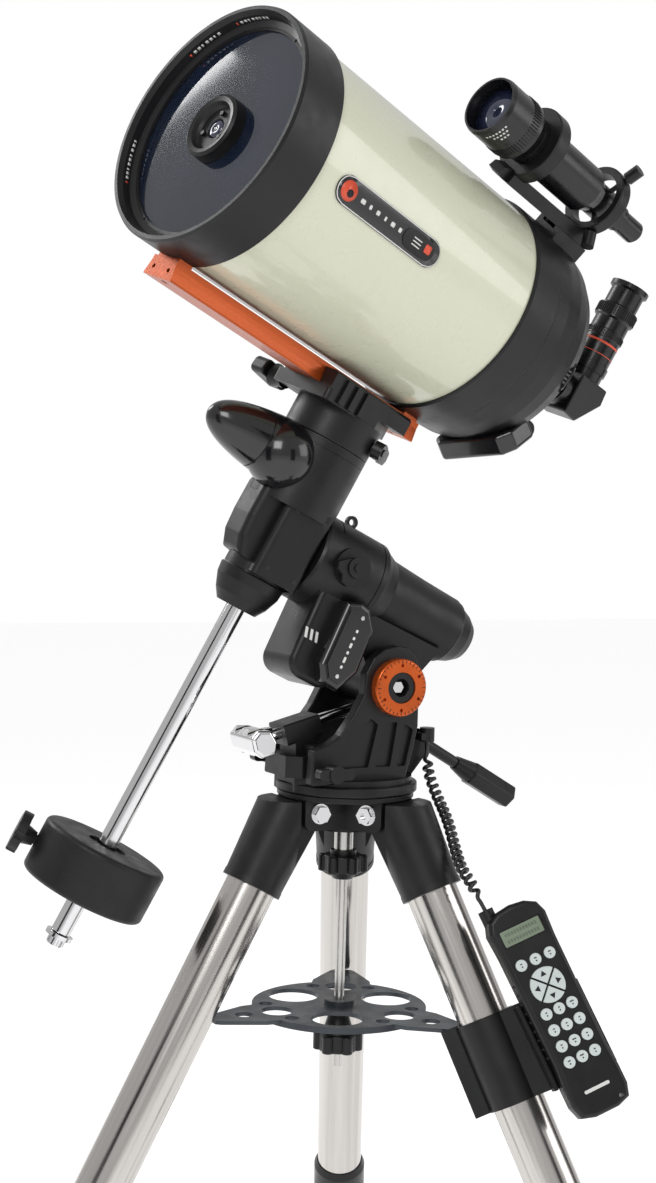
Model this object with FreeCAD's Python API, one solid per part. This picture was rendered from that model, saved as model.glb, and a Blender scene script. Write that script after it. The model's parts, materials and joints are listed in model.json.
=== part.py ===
"""Schmidt-Cassegrain telescope on a German equatorial mount and a steel tripod.

Frame: millimetres, +Z up, origin on the floor under the tripod's vertical axis,
+Y towards the celestial pole (north), +X east.
Each moving group is drawn in its own local frame and then placed in the world:
  L  latitude frame   Y along the polar axis, Z square to it in the meridian plane
  R  hour-angle frame L turned about the polar axis, Z along the declination axis
  D  tube frame       R turned about the declination axis, Y along the optical axis
"""
import FreeCAD, Part
import math
import os

V = FreeCAD.Vector
Placement = FreeCAD.Placement
Rotation = FreeCAD.Rotation

# ---------------------------------------------------------------- driving dimensions
HUB_TOP = 748.0            # top face of the tripod hub above the floor
HUB_RING_R = 68.5
HUB_RING_T = 6.0
LEG_TILT = 28.2            # legs from the vertical, degrees
LEG_TUBE_R = 25.4          # two inch steel tube
LEG_WALL = 1.6
LOWER_LEG_R = 22.2
LEG_AXIS_R = 53.3          # leg axis to tripod axis at the hub's top face
LEG_AZIMUTHS = {"a": 90.0, "b": 210.0, "c": 330.0}
LEG_PIVOT_R = 44.0
LEG_PIVOT_Z = 729.0

PIVOT_Y = -26.0            # latitude pivot
PIVOT_Z = 854.5
AXES_Y = 88.0              # where polar and declination axes cross
AXES_Z = 999.0
LATITUDE = 25.5            # polar axis altitude at rest, degrees
HOUR_TURN = -9.0           # turn about the polar axis at rest, degrees
DEC_TURN = 15.0            # turn about the declination axis at rest, degrees

FORK_GAP = 38.0            # half the gap between the fork's cheeks
FORK_OUT = 52.0
TRUNNION_R = 15.0
RUN_FIT = 0.05             # radial running clearance

SHAFT_R = 10.0             # counterweight shaft
WEIGHT_R = 64.0
WEIGHT_T = 54.0
WEIGHT_POS = -368.0        # weight centre along the declination axis

TUBE_R = 114.0             # optical tube
TUBE_WALL = 1.6
TUBE_AXIS = 288.0          # optical axis above the polar axis
CELL_R = 117.5
FRONT_Y = 292.0            # front rim
CELL_Y = 241.5             # back edge of the front cell
TUBE_BACK = -46.0
APERTURE_R = 101.6

DOVE_BOTTOM = 149.0        # underside of the dovetail bar
DOVE_TOP = 168.5

os.makedirs("parts", exist_ok=True)

# ---------------------------------------------------------------- frames
WORLD = Placement()
LAT = Placement(V(0, AXES_Y, AXES_Z), Rotation(V(1, 0, 0), LATITUDE))
HOUR = LAT.multiply(Placement(V(0, 0, 0), Rotation(V(0, 1, 0), HOUR_TURN)))
TUBE = HOUR.multiply(Placement(V(0, 0, 0), Rotation(V(0, 0, 1), DEC_TURN)))


def leg_frame(key):
    """Origin on the leg axis at the hub's top face; local -Z runs down the leg, X outwards."""
    turn = Placement(V(0, 0, 0), Rotation(V(0, 0, 1), LEG_AZIMUTHS[key]))
    lean = Placement(V(LEG_AXIS_R, 0, HUB_TOP), Rotation(V(0, 1, 0), -LEG_TILT))
    return turn.multiply(lean)


def radial_frame(key):
    """Upright frame of a leg: X outwards, Y along the hinge pin, Z up."""
    return Placement(V(0, 0, 0), Rotation(V(0, 0, 1), LEG_AZIMUTHS[key]))


# ---------------------------------------------------------------- helpers
def save(name, shape, frame=WORLD):
    """Place a shape from its local frame and write its STEP file."""
    solids = [s for s in shape.Solids]
    placed = Part.makeCompound(solids) if len(solids) > 1 else solids[0]
    placed.Placement = frame.multiply(placed.Placement)
    if not placed.isValid():
        print("WARNING invalid", name)
    placed.exportStep("parts/" + name + ".step")
    box = placed.BoundBox
    print("%-22s %2d solids %10.0f mm3  z %.0f..%.0f" % (
        name, len(solids), placed.Volume, box.ZMin, box.ZMax))
    return placed


def cyl(r, a, b, axis="z", u=0.0, v=0.0):
    """Cylinder of radius r from a to b along an axis; u, v are the other two coordinates."""
    if axis == "x":
        return Part.makeCylinder(r, b - a, V(a, u, v), V(1, 0, 0))
    if axis == "y":
        return Part.makeCylinder(r, b - a, V(u, a, v), V(0, 1, 0))
    return Part.makeCylinder(r, b - a, V(u, v, a), V(0, 0, 1))


def cone(r0, r1, a, b, axis="z", u=0.0, v=0.0):
    """Cone with radius r0 at a and r1 at b."""
    base = {"x": V(a, u, v), "y": V(u, a, v), "z": V(u, v, a)}[axis]
    way = {"x": V(1, 0, 0), "y": V(0, 1, 0), "z": V(0, 0, 1)}[axis]
    return Part.makeCone(r0, r1, b - a, base, way)


def box(x0, x1, y0, y1, z0, z1):
    return Part.makeBox(x1 - x0, y1 - y0, z1 - z0, V(x0, y0, z0))


def fuse(*shapes):
    out = shapes[0].multiFuse(list(shapes[1:]))
    return out.removeSplitter()


def cut(shape, *tools):
    for tool in tools:
        shape = shape.cut(tool)
    return shape


def prism(points, a, b, axis="z"):
    """Extrude a polygon given in the plane square to an axis, from a to b."""
    if axis == "x":
        pts = [V(a, p[0], p[1]) for p in points]
        way = V(b - a, 0, 0)
    elif axis == "y":
        pts = [V(p[0], a, p[1]) for p in points]
        way = V(0, b - a, 0)
    else:
        pts = [V(p[0], p[1], a) for p in points]
        way = V(0, 0, b - a)
    wire = Part.makePolygon(pts + [pts[0]])
    return Part.Face(wire).extrude(way)


def revolve_y(profile, z=0.0, x=0.0):
    """Turn a closed (radius, y) profile about the line parallel to Y through x, z."""
    pts = [V(x + r, y, z) for r, y in profile]
    face = Part.Face(Part.makePolygon(pts + [pts[0]]))
    return face.revolve(V(x, 0, z), V(0, 1, 0), 360)


def revolve_z(profile, x=0.0, y=0.0):
    """Turn a closed (radius, z) profile about a vertical line."""
    pts = [V(x + r, y, z) for r, z in profile]
    face = Part.Face(Part.makePolygon(pts + [pts[0]]))
    return face.revolve(V(x, y, 0), V(0, 0, 1), 360)


def turned(shape, axis, angle, centre=V(0, 0, 0)):
    """A copy turned about an axis through a centre, degrees."""
    out = shape.copy()
    out.rotate(centre, axis, angle)
    return out


def moved(shape, x=0.0, y=0.0, z=0.0):
    out = shape.copy()
    out.translate(V(x, y, z))
    return out


def soften(shape, radius, keep=None):
    """Round the edges that pass the keep test; leaves the shape alone if it cannot."""
    edges = [e for e in shape.Edges if keep is None or keep(e)]
    if not edges:
        return shape
    try:
        out = shape.makeFillet(radius, edges)
        return out if out.isValid() else shape
    except Exception:
        return shape


def straight(edge, way):
    """True for a straight edge parallel to a direction."""
    if edge.Curve.TypeId != "Part::GeomLine":
        return False
    run = edge.Vertexes[-1].Point.sub(edge.Vertexes[0].Point)
    return run.Length > 0.1 and abs(run.normalize().dot(way)) > 0.999


def ring_of(shape, axis, count, centre=V(0, 0, 0), first=0.0):
    """Copies of a shape spaced evenly about an axis."""
    return [turned(shape, axis, first + 360.0 * i / count, centre) for i in range(count)]


def lobed(r, z0, z1, lobes=6, x=0.0, y=0.0):
    """Knob with rounded lobes about a vertical axis."""
    body = cyl(r * 0.80, z0, z1, "z", x, y)
    lobe = cyl(r * 0.24, z0, z1, "z", x + r * 0.76, y)
    out = body.multiFuse(ring_of(lobe, V(0, 0, 1), lobes, V(x, y, 0)))
    out = out.removeSplitter()
    return soften(out, 1.6, lambda e: abs(e.BoundBox.ZLength) < 0.01)


def stand_up(shape, way, at):
    """Turn a shape drawn along +Z so that it points along a direction, and move it."""
    out = shape.copy()
    out.Placement = Placement(V(*at), Rotation(V(0, 0, 1), V(*way))).multiply(out.Placement)
    return out


# ---------------------------------------------------------------- tripod
def tripod_hub():
    """Cast head: ring, centre boss, three clevises and the azimuth peg."""
    ring = cyl(HUB_RING_R, HUB_TOP - HUB_RING_T, HUB_TOP)
    ring = soften(ring, 1.2)
    boss = cyl(29.0, 708.0, HUB_TOP - 1.0)
    parts = [ring, boss]
    for key in LEG_AZIMUTHS:
        for side in (-1, 1):
            t0 = 22.0 if side > 0 else -30.0
            lug = box(14.0, 60.0, t0, t0 + 8.0, 712.0, HUB_TOP - 1.0)
            lug = soften(lug, 9.0, lambda e: straight(e, V(0, 1, 0)) and e.CenterOfMass.x > 50
                         and e.CenterOfMass.z < 720)
            bore = cyl(5.05, t0 - 1, t0 + 9, "y", LEG_PIVOT_R, LEG_PIVOT_Z)
            lug = lug.cut(bore)
            lug.Placement = radial_frame(key).multiply(lug.Placement)
            parts.append(lug)
    peg = cyl(6.0, HUB_TOP - 1.0, HUB_TOP + 33.0, "z", 0, 51.0)
    parts.append(soften(peg, 1.0, lambda e: e.CenterOfMass.z > HUB_TOP + 32))
    hub = fuse(*parts)
    hub = cut(hub, cyl(5.4, 700, HUB_TOP + 1))
    for key in LEG_AZIMUTHS:
        relief = box(30.5, 62, -21.9, 21.9, 700, HUB_TOP - HUB_RING_T)
        relief.Placement = radial_frame(key)
        hub = hub.cut(relief)
    save("tripod_hub", hub)


def leg_pivot_bolts():
    """Hinge bolts through the clevises, hexagon head on one side and a nut on the other."""
    bolts = []
    for key in LEG_AZIMUTHS:
        shank = cyl(5.0, -31.0, 31.0, "y", LEG_PIVOT_R, LEG_PIVOT_Z)
        hexagon = [(8.5 * math.cos(math.radians(60 * i)), 8.5 * math.sin(math.radians(60 * i)))
                   for i in range(6)]
        ring = [(LEG_PIVOT_R + x, LEG_PIVOT_Z + z) for x, z in hexagon]
        washers = [cyl(10.0, 30.0, 31.5, "y", LEG_PIVOT_R, LEG_PIVOT_Z),
                   cyl(10.0, -31.5, -30.0, "y", LEG_PIVOT_R, LEG_PIVOT_Z)]
        heads = [prism(ring, 31.5, 37.5, "y"), prism(ring, -37.5, -31.5, "y")]
        socket = cyl(3.4, -38.0, -34.0, "y", LEG_PIVOT_R, LEG_PIVOT_Z)
        bolt = fuse(shank, *washers, *heads).cut(socket)
        bolt.Placement = radial_frame(key)
        bolts.append(bolt)
    save("leg_pivot_bolts", Part.makeCompound(bolts))


def leg_socket(key):
    """Black casting: tongue on the hinge bolt, conical socket over the steel tube."""
    frame = leg_frame(key)
    flare = cone(29.8, 35.2, -104.5, 24.0)
    lip = cyl(30.6, -104.5, -98.0)
    body = fuse(flare, lip)
    body.Placement = frame
    upright = radial_frame(key)
    tools = [box(-60, 200, -90, 90, HUB_TOP - HUB_RING_T - 0.6, 900),
             box(-60, 66, 21.5, 90, 600, 900),
             box(-60, 66, -90, -21.5, 600, 900),
             box(-60, 40.0, -90, 90, 690, 900)]
    for tool in tools:
        tool.Placement = upright
        body = body.cut(tool)
    tongue = cyl(11.8, -21.5, 21.5, "y", LEG_PIVOT_R, LEG_PIVOT_Z)
    tongue.Placement = upright
    body = body.fuse(tongue)
    seat = cyl(LEG_TUBE_R, -110.0, -40.0)
    core = cyl(LEG_TUBE_R - 3.0, -41.0, -30.0)
    pin = cyl(5.05, -30, 30, "y", LEG_PIVOT_R, LEG_PIVOT_Z)
    for tool in (seat, core):
        tool.Placement = frame
        body = body.cut(tool)
    pin.Placement = upright
    body = body.cut(pin).removeSplitter()
    save("leg_socket_" + key, body)


def upper_leg(key):
    tube = cyl(LEG_TUBE_R, -590.0, -40.0).cut(cyl(LEG_TUBE_R - LEG_WALL, -591.0, -39.0))
    save("upper_leg_" + key, tube, leg_frame(key))


def leg_clamp(key):
    """Moulded collar with a clamping ear and its wing screw."""
    collar = fuse(cyl(29.5, -628.0, -560.0), cone(29.5, 26.4, -560.0, -552.0), cyl(31.0, -628.0, -616.0))
    ear = box(20.0, 44.0, -9.0, 9.0, -622.0, -592.0)
    ear = soften(ear, 3.0, lambda e: straight(e, V(0, 1, 0)))
    body = fuse(collar, ear)
    body = cut(body, cyl(LEG_TUBE_R, -590.0, -540.0), cyl(LOWER_LEG_R + 0.35, -640.0, -589.0),
               box(22.0, 50.0, -1.0, 1.0, -640.0, -592.5),
               cyl(4.0, -12.0, 12.0, "y", 36.0, -607.0))
    stem = cyl(4.0, -9.0, 21.0, "y", 36.0, -607.0)
    hub = cyl(8.0, 10.5, 21.0, "y", 36.0, -607.0)
    wing = box(28.5, 58.0, 14.0, 21.0, -613.0, -601.0)
    wing = soften(wing, 5.0, lambda e: straight(e, V(0, 1, 0)))
    screw = fuse(stem, hub, wing)
    save("leg_clamp_" + key, Part.makeCompound([body, screw]), leg_frame(key))


def lower_leg(key):
    """Inner steel tube with its plastic foot."""
    tube = cyl(LOWER_LEG_R, -815.0, -100.0).cut(cyl(LOWER_LEG_R - LEG_WALL, -816.0, -99.0))
    frame = leg_frame(key)
    cup = fuse(cyl(25.5, -822.0, -790.0), cone(19.0, 25.5, -850.0, -822.0))
    cup = cup.cut(cyl(LOWER_LEG_R, -815.0, -780.0))
    cup.Placement = frame
    pad_x = LEG_AXIS_R + HUB_TOP * math.tan(math.radians(LEG_TILT))
    pad = cyl(24.0, 0.0, 9.0, "z", pad_x - 3.0, 0)
    pad = soften(pad, 2.0, lambda e: e.CenterOfMass.z > 8)
    pad.Placement = radial_frame(key)
    floor = box(-900, 900, -900, 900, -90, 0.0)
    foot = cup.cut(floor).fuse(pad).removeSplitter()
    tube.Placement = frame
    save("lower_leg_" + key, Part.makeCompound([tube, foot]))


def centre_rod():
    """Central fastening bolt and its long rod, with the bright sleeve under the hub."""
    rod = cyl(5.0, 466.0, HUB_TOP + 9.0)
    sleeve = cyl(9.5, 686.5, 707.9)
    save("centre_rod", fuse(rod, sleeve))


def mounting_knob():
    knob = lobed(25.0, 664.0, 681.0, 6)
    neck = cyl(13.0, 680.0, 686.2)
    skirt = cone(10.0, 16.0, 657.0, 664.5)
    body = fuse(knob, neck, skirt).cut(cyl(5.0 + RUN_FIT, 640, 700))
    save("mounting_knob", body)


def accessory_tray():
    """Spreader tray: pressed plate with three arms and eyepiece holes."""
    plate = cyl(88.0, 524.5, 528.5)
    arms = []
    for angle in LEG_AZIMUTHS.values():
        arm = prism([(30, -34), (95, -30), (136, -13), (141.2, -9), (141.2, 9), (136, 13),
                     (95, 30), (30, 34)], 524.5, 528.5)
        arms.append(turned(arm, V(0, 0, 1), angle))
    body = fuse(plate, *arms)
    rim = cyl(88.0, 522.0, 525.0).cut(cyl(85.5, 521.0, 526.0))
    hub = cyl(15.0, 520.0, 534.0)
    body = fuse(body, rim, hub)
    holes = [cyl(5.45, 500, 560)]
    for i, angle in enumerate((30.0, 150.0, 270.0)):
        big = cyl(25.6, 500, 560, "z", 55.0, 0)
        holes.append(turned(big, V(0, 0, 1), angle))
    for angle in LEG_AZIMUTHS.values():
        small = cyl(16.2, 515, 560, "z", 70.0, 0)
        tiny = cyl(9.0, 515, 560, "z", 106.0, 0)
        holes.append(turned(small, V(0, 0, 1), angle))
        holes.append(turned(tiny, V(0, 0, 1), angle))
        for side in (-1, 1):
            mid = cyl(7.0, 515, 560, "z", 74.0, 0)
            holes.append(turned(mid, V(0, 0, 1), angle + side * 23.0))
    save("accessory_tray", cut(body, *holes))


def tray_knob():
    knob = lobed(25.0, 482.0, 500.0, 6)
    neck = cone(16.0, 10.0, 500.0, 519.6)
    body = fuse(knob, neck).cut(cyl(5.0 + RUN_FIT, 470, 530))
    save("tray_knob", body)


# ---------------------------------------------------------------- azimuth base
FRONT_BOLT_TILT = 15.0     # front latitude bolt, degrees above level towards the back
REAR_BOLT_TILT = 30.0
FRONT_BOLT = (0.0, 112.0, 796.5)
REAR_BOLT = (0.0, -138.8, 762.3)
PORT_X = -28.0             # hand control socket on the back of the fork, open downwards
PORT_Y = -77.0
PORT_Z = 796.0
PEG_Y = 51.0               # azimuth peg, and the height of the two screws that bear on it
WING_Z = HUB_TOP + 26.0
FRONT_REACH = 127.6        # bolt tip from its reference point at rest
REAR_REACH = 95.7


def front_way():
    a = math.radians(FRONT_BOLT_TILT)
    return (0, -math.cos(a), math.sin(a))


def rear_way():
    a = math.radians(REAR_BOLT_TILT)
    return (0, math.cos(a), math.sin(a))


def cheek(side):
    """One side plate of the fork, with cast pockets on its outer face."""
    outline = [(-38, 760), (-46, 788), (-52, 815), (-52, 872), (-47, 886), (-38, 893), (-26, 895),
               (-12, 892), (0, 884), (9, 868), (10, 848), (20, 829), (36, 808), (48, 800), (64, 794),
               (66, 760)]
    x0 = FORK_GAP if side > 0 else -FORK_OUT
    plate = soften(prism(outline, x0, x0 + FORK_OUT - FORK_GAP, "x"), 2.0)
    out = FORK_OUT * side
    pockets = [[(-38, 776), (-46, 812), (-36, 818), (-28, 776)],
               [(-21, 776), (-28, 820), (-14, 819), (-4, 776)],
               [(4, 776), (-6, 818), (2, 824), (12, 818), (34, 796), (40, 776)]]
    for pts in pockets:
        pocket = prism(pts, min(out, out - 4 * side), max(out, out - 4 * side), "x")
        plate = plate.cut(soften(pocket, 1.8, lambda e: straight(e, V(1, 0, 0))))
    return plate


def azimuth_base():
    """Fork casting: turntable disc, two cheeks, front arm and rear block."""
    disc = soften(cyl(71.5, HUB_TOP + 0.5, HUB_TOP + 10.0), 1.6)
    step = cyl(66.0, HUB_TOP + 9.0, HUB_TOP + 16.0)
    wall = prism([(-34, 48), (-34, 58), (-22, 69), (22, 69), (34, 58), (34, 48)], HUB_TOP + 2, 786)
    brow = prism([(-32, 50), (-32, 66), (-22, 79), (22, 79), (32, 66), (32, 50)], HUB_TOP + 17, 786)
    brow = soften(brow, 2.0, lambda e: straight(e, V(0, 0, 1)))
    cross = box(-FORK_GAP - 1, FORK_GAP + 1, 44, 58, 760, 797)
    pedestal = box(-17, 17, 44, 66, 784, 806)
    arm = box(-17, 17, -11.5, 9.5, 36.0, 76.0)
    arm = soften(arm, 3.0, lambda e: straight(e, V(0, 0, 1)))
    arm = stand_up(arm, front_way(), (0, FRONT_BOLT[1], FRONT_BOLT[2]))
    rear = prism([(-44, 758), (-62, 758), (-82, 782), (-84, 798), (-74, 808), (-60, 808), (-60, 782),
                  (-44, 772)], -19, 19, "x")
    rear = soften(rear, 3.0, lambda e: straight(e, V(1, 0, 0)) and e.CenterOfMass.y < -70)
    port = cyl(7.5, PORT_Z, PORT_Z + 14, "z", PORT_X, PORT_Y)
    bracket = box(PORT_X - 6, -16, PORT_Y - 2, PORT_Y + 10, PORT_Z + 2, PORT_Z + 9)
    body = fuse(disc, step, cheek(-1), cheek(1), wall, brow, cross, pedestal, arm, rear, bracket, port)
    holes = [cyl(TRUNNION_R + RUN_FIT, -60, 60, "x", PIVOT_Y, PIVOT_Z),
             cyl(5.6, 740, HUB_TOP + 12),
             box(-17, 17, 43.5, 60.5, HUB_TOP - 1, HUB_TOP + 36),
             stand_up(cyl(6.0 + RUN_FIT, -12, 100), front_way(), FRONT_BOLT),
             stand_up(cyl(6.0 + RUN_FIT, 20, 100), rear_way(), REAR_BOLT),
             cyl(5.0 + RUN_FIT, -80, 80, "x", PEG_Y, WING_Z)]
    save("azimuth_base", cut(body, *holes))


def azimuth_knob(side, name):
    """Wing screw that bears on the azimuth peg from one side."""
    def span(a, b):
        return tuple(sorted((side * a, side * b)))
    stem = cyl(5.0, *span(6.3, 70.0), "x", PEG_Y, WING_Z)
    hub = cyl(8.5, *span(62.5, 78.0), "x", PEG_Y, WING_Z)
    wing = box(*span(66.0, 77.0), PEG_Y - 19, PEG_Y + 19, WING_Z - 5.5, WING_Z + 5.5)
    wing = soften(wing, 4.5, lambda e: straight(e, V(1, 0, 0)))
    save(name, fuse(stem, hub, wing))


def latitude_rings():
    """Bright rings over the ends of the latitude pivot."""
    rings = []
    for side in (-1, 1):
        lo, hi = sorted((side * FORK_OUT, side * 62.0))
        ring = cyl(28.5, lo, hi, "x", PIVOT_Y, PIVOT_Z)
        ring = soften(ring, 2.6, lambda e: abs(e.CenterOfMass.x) > 61)
        ring = ring.cut(cyl(TRUNNION_R + 0.4, lo - 1, hi + 1, "x", PIVOT_Y, PIVOT_Z))
        face = 62.0 * side
        for i in range(6):
            a = math.radians(30 + 60 * i)
            pin = cyl(1.7, min(face, face - 2.5 * side) - 0.5, max(face, face - 2.5 * side) + 0.5, "x",
                      PIVOT_Y + 22.0 * math.cos(a), PIVOT_Z + 22.0 * math.sin(a))
            ring = ring.cut(pin)
        rings.append(ring)
    save("latitude_rings", Part.makeCompound(rings))


def latitude_bolt_front():
    """Front latitude screw with a faceted T handle."""
    stem = cyl(6.0, 0.0, FRONT_REACH)
    boss = cone(12.0, 9.0, 10.0, 28.5)
    bar = prism([(-13, 3), (-4, -4), (9, -4), (15, 5), (11, 18), (-2, 22), (-13, 18)], -27, 27, "x")
    screw = fuse(stem, boss, soften(bar, 3.5))
    dents = [cyl(7.0, -40, 19.0, "z", x, y) for x in (-14.0, 14.0) for y in (-17.0, 17.0)]
    save("latitude_bolt_front", stand_up(cut(screw, *dents), front_way(), FRONT_BOLT))


def latitude_bolt_rear():
    """Rear latitude screw with a long faceted grip."""
    stem = cyl(6.0, -10.0, REAR_REACH)
    grip = prism([(13.5 * math.cos(math.radians(60 * i)), 13.5 * math.sin(math.radians(60 * i)))
                  for i in range(6)], -66.0, -8.0)
    grip = soften(grip, 2.6)
    neck = cone(11.5, 7.5, -9.0, 12.0)
    screw = fuse(stem, grip, neck)
    save("latitude_bolt_rear", stand_up(screw, rear_way(), REAR_BOLT))


# ---------------------------------------------------------------- polar (right ascension) side
def in_latitude(y, z):
    """World (y, z) of the meridian plane expressed in the latitude frame."""
    a = math.radians(LATITUDE)
    dy, dz = y - AXES_Y, z - AXES_Z
    return (dy * math.cos(a) + dz * math.sin(a), -dy * math.sin(a) + dz * math.cos(a))


TAIL_TILT = -15.0          # tail arm from the vertical at rest, degrees
TAIL_LONG = 55.0
TAIL_R = 9.0
DRUM_R = 46.5
LEVER_Y, LEVER_Z = -68.0, 2.0


def ra_housing():
    """Polar-axis housing with its neck, trunnions and the tail that the screws push."""
    py, pz = in_latitude(PIVOT_Y, PIVOT_Z)
    barrel = revolve_y([(0, -33.5), (44.5, -33.5), (DRUM_R, -36), (DRUM_R, -110), (43.0, -116),
                        (38.0, -128), (36.0, -170), (35.0, -214), (0, -214)])
    neck = prism([(-112, -26), (-206, -24), (-196, -52), (py - 25, pz + 8), (py - 12, pz - 18),
                  (py + 12, pz - 18), (py + 27, pz + 6), (-112, -54)], -31, 31, "x")
    neck = soften(neck, 4.0, lambda e: straight(e, V(1, 0, 0)) and e.CenterOfMass.z < -45)
    drum = cyl(22.0, -36.5, 36.5, "x", py, pz)
    trunnion = cyl(TRUNNION_R, -60.5, 60.5, "x", py, pz)
    for side in (-1, 1):
        lo, hi = sorted((side * 62.0, side * 51.0))
        trunnion = trunnion.cut(cyl(9.0, lo, hi, "x", py, pz))
    a = math.radians(TAIL_TILT - LATITUDE)
    down = (math.sin(a), -math.cos(a))
    side = (math.cos(a), math.sin(a))
    ty, tz = py + TAIL_LONG * down[0], pz + TAIL_LONG * down[1]
    arm = prism([(py + 14 * side[0], pz + 14 * side[1]), (ty + TAIL_R * side[0], tz + TAIL_R * side[1]),
                 (ty - TAIL_R * side[0], tz - TAIL_R * side[1]), (py - 14 * side[0], pz - 14 * side[1])],
                -13, 13, "x")
    roller = cyl(TAIL_R, -13, 13, "x", ty, tz)
    seat = cyl(19.0, -50.5, -20.0, "x", LEVER_Y, LEVER_Z)
    eye = cyl(6.5, -2.0, 2.0, "x", -71.0, 51.0).cut(cyl(3.2, -3, 3, "x", -71.0, 51.0))
    eye = eye.fuse(box(-2, 2, -77, -65, 44, 48)).removeSplitter()
    bore = cyl(15.0 + RUN_FIT, -82, -30, "y")
    body = fuse(barrel, neck, drum, trunnion, arm, roller, seat, eye)
    body = cut(body, bore, cyl(4.0 + RUN_FIT, -52.0, -28.0, "x", LEVER_Y, LEVER_Z))
    for y, r in ((-52.0, DRUM_R), (-104.0, DRUM_R)):
        groove = cyl(r + 5, y - 0.6, y + 0.6, "y").cut(cyl(r - 0.8, y - 1, y + 1, "y"))
        groove = groove.cut(box(-60, -30, -100, -45, -30, 30)).cut(box(-10, 10, -100, -45, 30, 60))
        body = body.cut(groove)
    save("ra_housing", body, LAT)


def ra_motor_housing():
    """Rounded drive box under the polar barrel."""
    body = box(-36, 30, -108, -54, -116, -20)
    body = soften(body, 17.0, lambda e: straight(e, V(1, 0, 0)) and e.CenterOfMass.z < -100)
    body = soften(body, 6.0, lambda e: e.CenterOfMass.z < -30)
    body = body.cut(cyl(DRUM_R, -120, -30, "y"))
    save("ra_motor_housing", body, LAT)


def motor_cover():
    """Long eight-sided gear cover on the west side."""
    pts = [(-77, -30), (-92, -24), (-104, -26), (-117, -42), (-119, -88), (-106, -113), (-88, -111),
           (-77, -96)]
    plate = prism(pts, -53.0, -36.0, "x")
    plate = soften(plate, 5.5, lambda e: e.CenterOfMass.x < -52.9)
    raised = prism([(-83, -36), (-93, -31), (-101, -32), (-111, -45), (-112.5, -86), (-103, -106),
                    (-91, -104.5), (-83, -93)], -54.2, -52.5, "x")
    body = fuse(plate, raised).cut(cyl(DRUM_R, -140, -30, "y"))
    screws = [cyl(2.2, -55.0, -51.5, "x", -98, z) for z in (-100.0, -38.0)]
    save("motor_cover", cut(body, *screws), LAT)


def polar_cap():
    """Rear cap of the polar barrel."""
    cap = revolve_y([(0, -214), (33.5, -214), (33.5, -219), (31.5, -221), (27.0, -233), (21.0, -242),
                     (17.0, -243), (15.5, -240), (0, -240)])
    save("polar_cap", cap, LAT)


def ra_clutch_lever():
    stem = cyl(4.0, -51.5, -32.0, "x", LEVER_Y, LEVER_Z)
    hub = cyl(10.0, -60.0, -51.0, "x", LEVER_Y, LEVER_Z)
    lobes = [(-9, -5), (-4, -17), (2, -21), (9, -19), (12, -12), (19, -9), (21, -3), (12, 4), (4, 9)]
    arm = prism([(LEVER_Y + y, LEVER_Z + z) for y, z in lobes], -58.0, -51.5, "x")
    arm = soften(arm, 2.0, lambda e: straight(e, V(1, 0, 0)))
    screw = cyl(4.0, -61.5, -59.5, "x", LEVER_Y, LEVER_Z)
    save("ra_clutch_lever", fuse(stem, hub, arm, screw), LAT)


# ---------------------------------------------------------------- declination side
NECK_R = 45.0
NECK_SEAM = 105.0          # turning joint above the polar axis


def dec_housing():
    """Declination body with the polar shaft stub."""
    upper = cyl(NECK_R, 32.0, NECK_SEAM).cut(cyl(DRUM_R + 1.5, -60, -33.0, "y"))
    sleeve = cyl(32.0, -42.0, 40.0)
    panel = box(-38.5, 38.5, -33.0, 20, -40, 42)
    panel = soften(panel, 7.0, lambda e: straight(e, V(0, 0, 1)))
    panel = soften(panel, 2.0, lambda e: abs(e.CenterOfMass.z - 42) < 0.1)
    stub = cyl(15.0, -78.0, -30.0, "y")
    chest = prism([(10, -34), (36, -30), (42.5, -14), (44, 8), (43.5, 46), (10, 46)], -25, 25, "x")
    chest = soften(chest, 9.0, lambda e: e.CenterOfMass.y > 25)
    body = fuse(upper, sleeve, panel, stub, chest)
    axle = cyl(14.0 + RUN_FIT, 66, 110)
    thread = cyl(12.0, -60, -18)
    ring = cyl(NECK_R + 4, 96.0, 97.0).cut(cyl(NECK_R - 0.8, 95, 98))
    save("dec_housing", cut(body, axle, thread, ring), HOUR)


def dec_motor_pod():
    """Bullet-shaped drive housing that points forward from the declination body."""
    z = 75.0
    nose = Part.BSplineCurve()
    nose.interpolate([V(-8 + 33.0, 40, z), V(-8 + 30.5, 62, z), V(-8 + 26.5, 85, z),
                      V(-8 + 20.0, 107, z), V(-8 + 11.0, 121, z), V(-8, 126, z)])
    base = Part.LineSegment(V(-8, 40, z), V(-8 + 33.0, 40, z))
    axis = Part.LineSegment(V(-8, 126, z), V(-8, 40, z))
    face = Part.Face(Part.Wire([base.toShape(), nose.toShape(), axis.toShape()]))
    bullet = face.revolve(V(-8, 0, z), V(0, 1, 0), 360)
    dome = Part.makeSphere(34.5, V(-15, 41, 72))
    body = fuse(bullet, dome)
    body = body.cut(cyl(NECK_R, -60, 104.9)).cut(cyl(NECK_R + 1.5, 103.0, 140))
    body = body.cut(box(-26, 26, 0, 45, -30, 46.2)).cut(box(-39, 39, -33, 20.5, -40, 42.2))
    groove = cyl(60, 67.4, 68.6, "y", -8, z).cut(cyl(28.6, 60, 80, "y", -8, z))
    save("dec_motor_pod", body.cut(groove), HOUR)


def shaft_collar():
    """Conical boss that the counterweight shaft screws into."""
    body = revolve_z([(0, -42.3), (33.0, -42.3), (34.0, -44), (33.0, -54), (27.5, -68), (21.0, -78),
                      (0, -78)])
    body = cut(body, cyl(SHAFT_R, -120, -40), cyl(DRUM_R + 1.5, -60, -33.0, "y"))
    save("shaft_collar", body, HOUR)


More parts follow.
